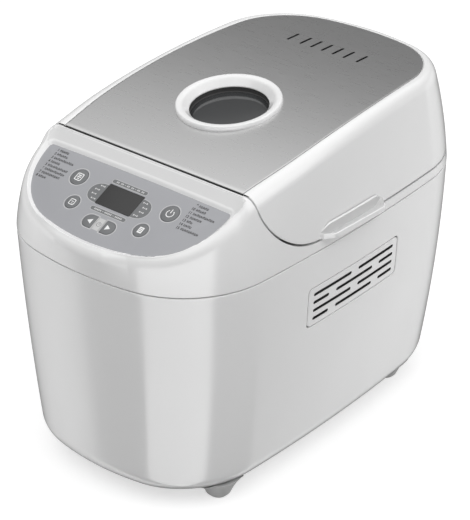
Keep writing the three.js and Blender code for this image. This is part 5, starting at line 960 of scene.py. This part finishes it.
def upper_housing():
    """The skin below the parting line with its rounded edge and the wall inside it, the console's top
    sunk round the panel, the wall behind the console, the deck round the mouth, and the knuckles."""
    a, v, across, n_sweep = parting(0, False)
    a_front = np.concatenate([np.arange(40) / 40, 1 + np.arange(56) / 56,
                              2 + (a[0] - 2) * np.arange(16) / 16])
    n_front = len(a_front)
    a_top = np.concatenate([a_front, a])
    v_top = np.concatenate([np.full(n_front, 2.0), v])
    a_low = np.concatenate([a_front, np.linspace(a[0], a[n_sweep - 1], n_sweep), a[n_sweep:]])
    v_low = 0.5 / (skin(a_low, 1.0)[:, 2] - SEAM_Z)
    s = np.concatenate([np.linspace(0, 0.5, 15)[:-1], np.linspace(0.5, 1, 33)])[:, None]
    level = lerp(v_low, v_top, s)
    grid = skin(lerp(a_low, a_top, s), level)
    grid[:, [0, -1], 0] = 0
    grid[level > 1.2] = sunk(grid[level > 1.2])

    edge = grid[-1, n_front:]
    ribbon, wall = edge_rows(edge, a, v, across, n_sweep)
    ribbon = np.array([*ribbon, ribbon[-1] - [0, 0, 0.6], raised(wall, DECK_Z)])
    ribbon[:, -1, 0] = 0

    y_edge = CONSOLE_REAR_Y - EDGE
    across_x = np.concatenate([edge[:1, 0], np.linspace(wall[0, 0], 0, 44)])
    rear = np.stack([across_x, np.full(45, y_edge), np.full(45, crown_z(y_edge))], -1)
    outer = np.concatenate([skin(a_front, 2.0), rear])
    front_part = np.minimum(a_front, 2) + np.maximum(a_front - 2, 0) / (a[0] - 2)
    flat = plan(**PANEL_SPEC)(np.concatenate([front_part, 3 + np.linspace(0, 1, 6)[:-1],
                                              4 + np.linspace(0, 1, 40)]))
    height = np.zeros(len(flat))
    for _ in range(12):
        on_slope = body_axes(raised(flat, height))
        height += (crown_z(on_slope[:, 1]) - on_slope[:, 2]) * 0.9
    target = body_axes(raised(flat, height))
    u = (1 - (1 - np.linspace(0, 1, 64)) ** 1.4)[:, None, None]
    cap = outer * (1 - u) + target * u
    cap[..., 2] = crown_z(cap[..., 1])
    cap = sunk(cap)
    q = slope_axes(cap[-1])
    cap = np.array([*cap, body_axes(q - [0, 0, 0.3]), body_axes(q - [0, 0, 1.6])])
    cap[:, [0, -1], 0] = 0

    lip = cap[0, n_front:]
    back = arc_rows(lip, np.array([0, 0, 1.0]), np.array([0, 1.0, 0]))
    back_wall = np.array([lip * [1, 0, 0] + [0, CONSOLE_REAR_Y, z] for z in (0, lip[0, 2] - 20, DECK_Z)])
    back_wall[0, :, 2] = back[-1][:, 2]

    loop = np.concatenate([np.linspace([0, CONSOLE_REAR_Y], wall[0], 20)[:-1], wall])
    hole = [0, CHAMBER_Y] + round_out(loop - [0, CHAMBER_Y], MOUTH_HALF, MOUTH_R)
    deck = [raised(lerp(loop, hole, t), DECK_Z) for t in (0, 0.3, 0.6, 1.0)]
    deck = np.array(deck + [deck[-1] - [0, 0, 2.5]])
    deck[:, [0, -1], 0] = 0

    halves = [np.concatenate([seam_rows(a_low), grid]), ribbon, cap, back, back_wall[:, 1:], deck]
    patches = halves + [mirrored(half) for half in halves]
    for x in (-41.7, -18.3, 18.3, 41.7):
        patches += knuckle(x - 2.5, x + 2.5, [(-12, -2.8), (2, -2.8), (2, 0), (-12, 0)])
    shade_band(make_piece("upper_housing_skin", patches, *WHITE_BODY, ["upper_housing"]))


upper_housing()

GRIP_Y, GRIP_Z = FRONT_Y + 189.8, RIM_Z + PARTING
GRIP_INNER, GRIP_OUTER = 41.5, 31.0  # half lengths at the wall and at the outer face
GRIP_REACH = 8.8
GRIP_X = HALF_WIDTH - 0.4 + GRIP_REACH


def lid_shell():
    """The skin above the parting line with its rounded edge and the wall inside it, the lip that falls
    to the plate's seat, the front wall with a ledge under the plate, the grips and the knuckles."""
    a, v, across, n_sweep = parting(PARTING, True)
    a_crest = a.copy()
    start = halving(lambda q: CROWN(q)[..., 1], np.array(LID_Y + EDGE), 0.5, 3)
    a_crest[:n_sweep] = np.linspace(float(start), a[n_sweep - 1], n_sweep)
    s = np.linspace(0, 1, 46)[:, None]
    grid = skin(lerp(a, a_crest, s), lerp(v, 2, s))
    ribbon, _ = edge_rows(grid[0], a, v, -across, n_sweep)
    ribbon = np.array([*ribbon, ribbon[-1] + [0, 0, 3.0]])
    ribbon[:, -1, 0] = 0

    crest = grid[-1]
    foot, _ = nearest(crest[:, :2], SEAT)
    shares, drops = (0.25, 0.5, 0.72, 0.86, 0.95, 1.0, 1.0), (0, 0, 0.02, 0.08, 0.2, 0.42, 1.2)
    lip = [(lerp(crest[:, :2], foot, t), drop) for t, drop in zip(shares, drops)]
    lip.append((lerp(foot, np.array([0, WINDOW_Y]), 0.06), 1.2))
    top = np.array([*grid, *(raised(flat, arch_z(flat[:, 1]) - drop) for flat, drop in lip)])
    top[:, -1, 0] = 0

    xs, ledge_z = np.linspace(crest[0, 0] - 0.5, 0, 40), arch_z(LID_Y) - 3.2

    def across_front(*line):
        return np.array([np.stack([xs, np.full(40, LID_Y + y), np.full(40, ledge_z + z)], -1)
                         for y, z in line])

    front, shelf = across_front((0, 0), (0, -6), (0, -18)), across_front((0, 0), (2.2, 0), (2.2, 2.3))
    halves = [top, ribbon, front, shelf]
    patches = halves + [mirrored(half) for half in halves] + [grip_patch(1), grip_patch(-1)]
    for x in (30, -30):
        patches += knuckle(x - 8, x + 8, [(-12, 0), (2, 0), (0, 4), (-12, 16)])
    shade_grips(make_piece("lid_shell_skin", patches, *WHITE_LID, ["lid_shell"]))


def shade_grips(piece):
    """Gives the two finger troughs a darker white as painted shade, with a matt roughness, and paints the
    ledge under the plate's front edge dark grey as painted shade.
    """
    middles, normals = faces_of(piece)
    x, y, z = middles.T
    x = np.abs(x)
    small = np.clip((GRIP_INNER - np.abs(y - GRIP_Y)) / (GRIP_INNER - GRIP_OUTER), 0, 1)
    near = (small > 0.05) & (z > GRIP_Z + 0.6) & (z < GRIP_Z + 4.3 + 5.7 * small) & (x > HALF_WIDTH - 8)
    wall = np.full(len(x), HALF_WIDTH)
    wall[near] = skin(*skin_place(y[near], z[near]))[..., 0]
    top = arch_z(LID_Y)
    paint(piece, (GRIP_SHADE, near & (x > wall + 0.05) & (x < lerp(wall, GRIP_X - 1.2, small))),
          # Painted shade: the ledge under the plate's front edge turns dark grey, so that the gap reads as a
          # dark line.
          (SHADE_AND_RETAINER_GREY, (y > LID_Y + 0.5) & (y < LID_Y + 2.5) & (z > top - 3.5) & (z < top - 0.9)
           & (np.abs(normals[:, 0]) < 0.02)))


def grip_patch(side):
    """Tab on the lid's lower edge: an upright outer face with slanting ends, a narrow lip, and a trough
    that falls from the lip to the wall, where a brow leans out over it and rolls back into the wall. The
    profile is swept along the tab's plan and shrinks at its ends."""
    low, top = GRIP_Z, GRIP_Z + 4.4
    along = np.concatenate([GRIP_INNER - (GRIP_INNER - GRIP_OUTER) * np.linspace(0, 1, 16),
                            np.linspace(GRIP_OUTER, 0, 18)[1:]])
    small = np.clip((GRIP_INNER - along) / (GRIP_INNER - GRIP_OUTER), 0, 1)
    small = small - 0.05 * np.clip(1 - np.abs(along - GRIP_OUTER) / 1.6, 0, 1) ** 2
    small = np.concatenate([small, small[::-1][1:]])
    foot, brow, crown, roll, dip = 0.2, 2.3, 6.2, 0.5, 3.7
    # Each row: how far towards the outer face, distance from there or the wall, height, its shrinking part.
    rows = [(0, -1.5, low, 0), (1, -0.5, low, 0), (1, -0.15, low + 0.15, 0), (1, 0, low + 0.5, 0)]
    rows += [(1, -0.7 * (1 - math.cos(q)), top - 0.7 + 0.7 * math.sin(q), 0)
             for q in np.linspace(0, PI / 2, 6)]
    rows += [(1 - w, lerp(-1.3, foot, w), top, -dip * (1 - (1 - w) ** 1.6)) for w in np.linspace(0, 1, 12)]
    rows += [(0, lerp(foot, brow, w), top, -dip + (dip + crown - roll) * w)
             for w in np.linspace(0, 1, 12)[1:]]
    rows += [(0, brow - roll * (1 - math.cos(q)) - 1.2 * math.sin(q) ** 2, top,
              crown - roll + roll * math.sin(q)) for q in np.linspace(0, PI / 2, 7)[1:]]
    share, offset, level, swell = (np.array(column)[:, None] for column in zip(*rows))
    z = level + swell * small
    y = np.broadcast_to(np.concatenate([GRIP_Y + along, (GRIP_Y - along)[::-1][1:]]), z.shape)
    wall = skin(*skin_place(y, z))[..., 0]
    x = lerp(wall - 0.4, lerp(wall, GRIP_X, share) + offset, small)
    x[0] = wall[0] - 1.5
    return np.stack([side * x, y, z], -1)


lid_shell()

# ---- Steel plate, window and steam slots ----

SLOT_Y, SLOT_LENGTH, SLOT_WIDTH = REAR_Y - 88.6, 15.8, 2.3
SLOT_X = (0, 11.5, -11.5, 23, -23, 36.8, -36.8)
WINDOW_HOLE_R = 38
WINDOW_TILT = math.asin((ARCH_TOP[0] - WINDOW_Y) / ARCH_R)


def lid_plate():
    """Sheet that follows the arch inside its seat, its edge eased, with the slots and window cut out."""
    def face(trim, drop):
        outline = plan(**shrunk(PLATE_SPEC, trim))
        start = float(halving(lambda q: outline(q)[..., 1], np.array(LID_Y + 1.1 + trim), 0.5, 3))
        edge = outline(np.concatenate([np.linspace(start, 3, 60)[:-1], 3 + np.arange(44) / 44,
                                       4 + np.arange(31) / 30]))
        edge[-1, 0] = 0
        x = np.sin(np.linspace(-PI / 2, PI / 2, 25))[:, None] * edge[:, 0]
        y = np.broadcast_to(edge[:, 1], x.shape)
        return np.stack([x, y, arch_z(y) - drop], -1)

    border = np.array([perimeter(face(trim, drop))
                       for trim, drop in ((0.3, 0), (0.08, 0.08), (0, 0.3), (0, 0.8))])
    piece = make_piece("steel_plate", [face(0.3, 0), (border, True, None), face(0, 0.8)], BRUSHED, "lid",
                       "brushed_plate", ["lid_plate"], sharp=30)
    holes = [capsule(x, SLOT_Y, SLOT_LENGTH, SLOT_WIDTH, upright=True) for x in SLOT_X]
    holes.append(disc_loop(0, WINDOW_Y, WINDOW_HOLE_R, 72))
    carve(piece, [prism(hole, 240, 320, lambda p: p) for hole in holes], sharp=30)


lid_plate()


def at_window(p):
    """From the window's own axes, upright through its middle, to the body's."""
    y, z = p[..., 1], p[..., 2]
    c, s = math.cos(WINDOW_TILT), math.sin(WINDOW_TILT)
    return np.stack([p[..., 0], WINDOW_Y + y * c - z * s, arch_z(WINDOW_Y) + y * s + z * c], -1)


def window():
    """Ring, throat and pane, each turned about the window's own axis."""
    ring = rounded_profile([(34.5, -3.9, 0), (32.2, -3.7, 0.5), (32.3, -2.8, 1.0), (37.8, 2.85, 2.4),
                            (42.7, 3.2, 2.8), (43.6, 0.5, 1.2), (43.5, -1.3, 0)], 8)
    make_piece("window_bezel_ring", [turned(ring, 144, at_window)], *WHITE_LID, ["window_bezel"], sharp=60)
    throat = rounded_profile([(36.6, -3.9, 0), (32.5, -3.9, 0.4), (32.5, -7.4, 1.0), (31.4, -8.2, 0.6),
                              (31.0, -7.9, 0.4), (31.0, -9.6, 0)], 4)
    # The throat is the retainer's own dark plastic, in the same dark grey as the painted shade of the slots.
    make_piece("window_throat", [turned(throat, 120, at_window)], SHADE_AND_RETAINER_GREY, "lid", "black_plastic",
               ["window_retainer"], sharp=60)
    pane = [(0, -6.3), (8, -6.35), (16, -6.55), (22, -6.8), (27, -7.2), (31.5, -7.8), (33, -8.6), (33, -11),
            (0, -11)]
    make_piece("window_pane", [turned(pane, 120, at_window)], GLASS, "lid", "window_glass", ["window_glass"],
               sharp=50)


window()

# ---- Control panel: film, keys, display and printing ----

DISPLAY_SIZE = (36.6, 20.8)
DISPLAY_UP = 0.8
# Each key's middle as (x, up the slope), its radius, and which way its arrow points, if it has one.
KEYS = {"key_menu": (-48, 6.2, 7.6, 0), "key_start_stop": (48, 6.2, 7.6, 0),
        "key_crust": (-36.2, -16.4, 6.2, 0), "key_loaf": (36.2, -16.4, 6.2, 0),
        "key_less": (-10, -25.6, 5.8, -1), "key_more": (10, -25.6, 5.8, 1)}


def key_loop(key, grow):
    """A key's outline: a disc, or on an arrow key a half disc with a straight inner end."""
    x, t, r, arrow = KEYS[key]
    if not arrow:
        return disc_loop(x, t, r + grow, 40)
    r = r + grow
    turn, corner, ease = np.linspace(-PI / 2, PI / 2, 20), np.linspace(0, PI / 2, 5), 1.2
    curve = np.stack([r * np.cos(turn), r * np.sin(turn)], -1)
    top = np.stack([-(5.4 + grow) + ease - ease * np.sin(corner), r - ease + ease * np.cos(corner)], -1)
    loop = np.concatenate([curve, top, top[::-1] * [1, -1]])
    if arrow < 0:
        loop = (loop * [-1, 1])[::-1]
    return loop + [x, t]


def display_loop(grow, r):
    """The display's outline, grown by grow, with corners of radius r."""
    return rounded_loop(DISPLAY_SIZE[0] + 2 * grow, DISPLAY_SIZE[1] + 2 * grow, r, 0, DISPLAY_UP)


def lofted(name, loops, *rest):
    """Closed piece from loops of as many points, each ((u, v) points, height on the panel)."""
    rows = [body_axes(raised(loop, height)) for loop, height in loops]
    n, count = len(rows[0]), len(rows)
    faces = grid_faces(count, n, True).tolist()
    faces += [list(range(n))[::-1], list(range((count - 1) * n, count * n))]
    return finish_piece(name, np.concatenate(rows), faces, *rest)


def press_body(key):
    """The body that a key rides on."""
    return key.replace("key_", "") + "_key"


outlines = [whole(plan(**shrunk(PANEL_SPEC, trim)), (60, 60, 20, 16, 30))
            for trim in (-0.05, -0.05, 0.03, 0.14)]
film = lofted("panel_film", zip(outlines, (-0.8, -0.12, -0.03, 0.0)), PANEL_GREY, "housing", "panel_film",
              ["control_membrane"])
holes = [key_loop(key, 0.3) for key in KEYS] + [display_loop(0.15, 0.8)]
carve(film, [prism(hole, -3, 3, body_axes) for hole in holes])
for key in KEYS:
    lofted(key + "_cap", [(key_loop(key, 0), -3.4), (key_loop(key, 0), 0.12), (key_loop(key, -0.05), 0.22),
                          (key_loop(key, -0.2), 0.28)], KEY_GREY, press_body(key), "key_plastic", [key])
outlines = [display_loop(-trim, 0.7) for trim in (0, 0, 0.08, 0.25)]
lofted("display_pane", zip(outlines, (-1.4, 0.0, 0.12, 0.16)), DISPLAY, "housing", "display_lens",
       ["display_lens"])


class Print:
    """Thin flat marks on the panel's slope, gathered into one mesh per colour and body."""

    def __init__(self):
        self.sheets = {}

    def mark(self, sheet, flat, faces, level):
        """Adds points at one height, and faces that number them."""
        points, known = self.sheets.setdefault(sheet, ([], []))
        base = sum(map(len, points))
        points.append(raised(flat, level))
        known.extend([base + i for i in face] for face in faces)

    def fill(self, sheet, loop, level):
        """Mark within a loop."""
        self.mark(sheet, loop, [range(len(loop))], level)

    def band(self, sheet, outer, inner, level):
        """Mark between two loops of as many points."""
        self.mark(sheet, np.concatenate([outer, inner]), ring_faces(len(outer)), level)

    def stroke(self, sheet, start, end, width, level=0.03):
        """Straight line of one width."""
        start, end = np.array(start, float), np.array(end, float)
        along = (end - start) / np.linalg.norm(end - start)
        side = np.array([-along[1], along[0]]) * width / 2
        self.fill(sheet, np.array([start - side, end - side, end + side, start + side]), level)

    def dash(self, sheet, x, t, reach, width, level):
        """Level line that reaches as far to both sides of x."""
        self.stroke(sheet, (x - reach, t), (x + reach, t), width, level)

    def build(self):
        """Makes one piece of each sheet."""
        for (name, *rest), (points, faces) in self.sheets.items():
            own(name, raw_mesh(name, body_axes(np.concatenate(points)), faces), *rest)


def print_sheet(colour, material, body="housing", slot="panel_film"):
    """Name and bearings of the marks of one colour on one body."""
    return "print_" + colour + ("" if body == "housing" else "_" + body), material, body, slot


prints = Print()
DARK = print_sheet("dark", KEY_GREY)
PALE = print_sheet("pale", PRINT_PALE)
LIGHT = print_sheet("light", PRINT_LIGHT)
TEXT = print_sheet("text", PRINT_DARK)


def lobe(side, grow):
    """Half lens beside the display."""
    turn = np.linspace(-PI / 2, PI / 2, 28)
    x = 18.1 - grow + (13.2 + 2 * grow) * np.abs(np.cos(turn)) ** 0.72
    loop = np.stack([x, (9.3 + grow) * np.sin(turn)], -1)
    return loop if side > 0 else (loop * [-1, 1])[::-1]


for side in (1, -1):
    prints.fill(PALE, lobe(side, 0.45), 0.02)
    prints.fill(DARK, lobe(side, 0.0), 0.04)
    for t, middle in ((6.6, 22.4), (2.3, 25.0), (-2.1, 25.0), (-6.4, 22.4)):
        for m in (-1, 0, 1):
            prints.dash(LIGHT, side * (middle + m * 1.7), t, 0.55, 1.3 if m else 0.7, 0.06)
for x, t, marks in ((-0.3, 14.5, (-2, -1, 1, 2)), (0, -14.1, (-2, -1, 0, 1, 2))):
    prints.fill(PALE, capsule(x, t, 37.2, 4.3), 0.02)
    prints.fill(DARK, capsule(x, t, 36.4, 3.5), 0.04)
    for word in (-10.8, 0, 10.8):
        for m in marks:
            prints.dash(LIGHT, word + m * 1.5, t, 0.45, 1.4, 0.06)
    for x in (-5.4, 5.4):
        prints.dash(LIGHT, x, t, 0.5, 0.4, 0.06)
for key in KEYS:
    prints.band(PALE, key_loop(key, 1.3), key_loop(key, 0.7), 0.02)
clock = (0, -25.6)
prints.fill(PALE, rounded_loop(9.6, 11.5, 0.6, *clock), 0.02)
prints.band(DARK, disc_loop(*clock, 2.1, 24), disc_loop(*clock, 1.75, 24), 0.04)
prints.stroke(DARK, clock, (0, -24.3), 0.35, 0.05)
prints.stroke(DARK, clock, (0.9, -25.6), 0.35, 0.05)


def numbered(first, x, top, lengths):
    """Column of programme numbers, each with a row of upright marks after it that spell nothing."""
    for k, length in enumerate(lengths):
        t = top - k * 3.95
        writing = bpy.data.curves.new("number", "FONT")
        writing.body = str(first + k)
        writing.size = 3.4 * MM
        writing.offset = 0.1 * MM
        writing.align_x = "RIGHT"
        holder = placed("number", writing)
        shape = final_mesh(holder)
        points = np.array([tuple(v.co)[:2] for v in shape.vertices]) / MM
        prints.mark(TEXT, points + [x, t - 1.2], [face.vertices for face in shape.polygons], 0.03)
        bpy.data.objects.remove(holder)
        for m in range(length):
            at = x + 1.5 + m * 1.95
            tall = 1.1 if (m + k) % 3 else 0.85
            bar = t + (0.8, -0.1, -0.9)[(m * 2 + k) % 3]
            prints.stroke(TEXT, (at, t - 1.1), (at, t + tall), 0.55)
            prints.stroke(TEXT, (at + 1.0, t - 1.1), (at + 1.0, t + tall - 0.3), 0.5)
            prints.stroke(TEXT, (at, bar), (at + 1.0, bar), 0.5)


numbered(1, -83.6, 21.8, (5, 6, 11, 5, 11, 11, 10, 4))
numbered(9, 64.2, 21.6, (5, 5, 11, 6, 3, 4, 9))

ICON_UP = 0.31


def icon(key, colour="white", material=PRINT_WHITE):
    """A key's middle, and the sheet of the sign on it."""
    return *KEYS[key][:2], print_sheet(colour, material, press_body(key), "key_plastic")


def key_icons():
    """Signs on the keys: a list in a frame, a switch, a slice of bread, a loaf and two arrows."""
    x, t, white = icon("key_menu")
    prints.band(white, rounded_loop(6.8, 7.4, 1.3, x, t), rounded_loop(5.2, 5.8, 0.9, x, t), ICON_UP)
    for up, reach in ((1.5, 1.7), (-0.1, 1.7), (-1.7, 1.2)):
        prints.dash(white, x, t + up, reach, 0.9, ICON_UP)
    x, t, white = icon("key_start_stop")
    turn = np.radians(90 + 38 + np.arange(41) * (360 - 76) / 40)
    outer, inner = (np.stack([x + r * np.cos(turn), t + r * np.sin(turn)], -1) for r in (3.6, 2.85))
    for k in range(40):
        prints.fill(white, np.array([outer[k], outer[k + 1], inner[k + 1], inner[k]]), ICON_UP)
    prints.stroke(white, (x, t + 0.4), (x, t + 4.3), 0.8, ICON_UP)
    x, t, white = icon("key_crust")
    prints.band(white, rounded_loop(5.6, 5.8, 1.3, x, t), rounded_loop(4.2, 4.4, 0.9, x, t), ICON_UP)
    prints.dash(white, x, t + 0.5, 1.2, 0.6, ICON_UP)
    prints.dash(white, x + 0.55, t - 1.2, 0.75, 0.6, ICON_UP)
    x, t, white = icon("key_loaf")
    prints.fill(white, rounded_loop(4.4, 5.8, 0.5, x, t), ICON_UP)
    for up in (1.5, 0.1, -1.3):
        prints.dash(icon("key_loaf", "grey", KEY_GREY)[2], x, t + up, 1.4, 0.5, ICON_UP + 0.02)
    for key, side in (("key_less", -1), ("key_more", 1)):
        x, t, white = icon(key)
        loop = np.array([[x - side * 2.5, t - 2.5], [x + side * 1.9, t], [x - side * 2.5, t + 2.5]])
        prints.fill(white, loop[::side], ICON_UP)


key_icons()
prints.build()

# ---- Feet and mains gland ----

FEET = {"foot_front_right": (81, FRONT_Y + 70.2), "foot_front_left": (-81, FRONT_Y + 70.2),
        "foot_rear_right": (71, REAR_Y - 86.4), "foot_rear_left": (-71, REAR_Y - 86.4)}
FOOT_PROFILE = [(0.7, 0), (0.7, 5.6), (0.1, 6.6), (0, 7.4), (0.12, 8.2), (0.5, 8.9), (1.1, 9.4), (2, 9.8),
                (4, 10.6), (6, 11.5), (8, 12.5), (10, 13.6), (12, 14.8), (14, 16.1), (16, 17.5), (18, 19),
                (18, 0)]  # height and radius


def under_body(x, y):
    """Height of the body's rounded underside over points of the floor."""
    low = wall_point(BELT(AROUND), BOTTOM_Z + BOTTOM_ROUND)[..., :2]
    flat = np.stack([x, y], -1).reshape(-1, 2)
    edge, out = nearest(flat, np.concatenate([low, low[1:-1][::-1] * [-1, 1]]))
    inside = -((flat - edge) * out).sum(-1)
    share = np.clip((BOTTOM_ROUND - inside) / BOTTOM_ROUND, 0, 1)
    return (BOTTOM_Z + BOTTOM_ROUND * (1 - np.sqrt(1 - share ** 2))).reshape(x.shape)


def foot(name):
    """Stub that flares from a small rounded square on the floor up into the body's rounded edge. Its
    radius grows with height along a slow curve, and its rim follows the body's underside."""
    x, y = FEET[name]
    z, r = np.array(FOOT_PROFILE, float).T[..., None]
    turn = np.arange(72) * 2 * PI / 72
    bend = (np.abs(np.cos(turn)) ** 3.0 + np.abs(np.sin(turn)) ** 3.0) ** (-1 / 3.0)
    wide = r * lerp(1.0, bend, 0.6)
    grid = np.stack(np.broadcast_arrays(x + wide * np.cos(turn), y + wide * np.sin(turn), z), -1)
    top = under_body(grid[..., 0], grid[..., 1]) + 0.25
    grid[..., 2] = np.minimum(grid[..., 2], np.minimum(top, node_box(name)[1][2]))
    make_piece(name + "_stub", [(grid, True, None)], FOOT_GREY, "housing", "foot_plastic", [name])


for name in FEET:
    foot(name)


def gland():
    """Collar for a mains lead, flush in the rear corner: a ring turned about the wall's own normal, with
    a dark grommet in it."""
    low, high = node_box("mains_gland")
    x, z = (low[0] + high[0]) / 2, (low[2] + high[2]) / 2
    a = float(halving(lambda q: -wall_point(BELT(q), z)[..., 0], np.array(-x), 3, 5))
    foot = wall_point(BELT(a), z)
    up = wall_point(BELT(a), z + 1) - foot
    out = np.cross(wall_point(BELT(a + 0.01), z) - foot, up)
    out /= np.linalg.norm(out)
    across = np.cross(up, out) / np.linalg.norm(np.cross(up, out))
    axes = np.array([across, np.cross(out, across), out])
    collar = rounded_profile([(3.6, -10, 0), (3.6, 0.2, 1.2), (6.0, 0.9, 0.6), (8.6, 0.7, 0.6),
                              (8.8, -1.2, 0.5), (8.8, -4, 0), (6.0, -4, 0), (6.0, -10, 0), (3.6, -10, 0)], 4)
    grommet = [(0, -3), (3.4, -3), (3.62, -3.4), (3.62, -8), (0, -8)]
    for part, profile, count, look in (("collar", collar, 64, WHITE_BODY),
                                       ("grommet", grommet, 48, (BLACK, "housing", "black_plastic"))):
        make_piece("mains_gland_" + part, [turned(profile, count, lambda p: foot + p @ axes)], *look,
                   ["mains_gland"], sharp=50)


gland()

# ---- Finishes of the pieces kept as they are ----

KEPT = {
    "base_plate": BLACK, "base_screw": BRIGHT, "mains_gland": BLACK, "hinge_pin": BRIGHT,
    "display_module": BLACK, "control_board": BOARD, "lid_frame": SATIN_WHITE, "lid_liner": SHEET,
    "lid_seal": SILICONE, "oven_chamber": SHEET, "heating_element": HEATER, "temperature_sensor": BRIGHT,
    "chassis": SHEET, "spindle_bush": BRIGHT, "drive_spindle": BRIGHT, "drive_pulley": BLACK,
    "motor_pulley": ALUMINIUM, "drive_belt": RUBBER, "motor_shaft": BRIGHT, "motor": SHEET,
    "power_board": BOARD, "pan_socket": SHEET, "pan_foot": ALUMINIUM, "bread_pan": NON_STICK,
    "pan_bush": BRIGHT, "pan_shaft": BRIGHT, "kneading_paddle": NON_STICK, "pan_bail": BRIGHT,
}
for name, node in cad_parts.items():
    match = [key for key in sorted(KEPT, key=len, reverse=True) if name.startswith(key)]
    material = KEPT[match[0]] if match else GLOSS_WHITE
    for k in range(max(len(node.material_slots), 1)):
        if node.material_slots:
            node.material_slots[k].material = material
        else:
            node.data.materials.append(material)
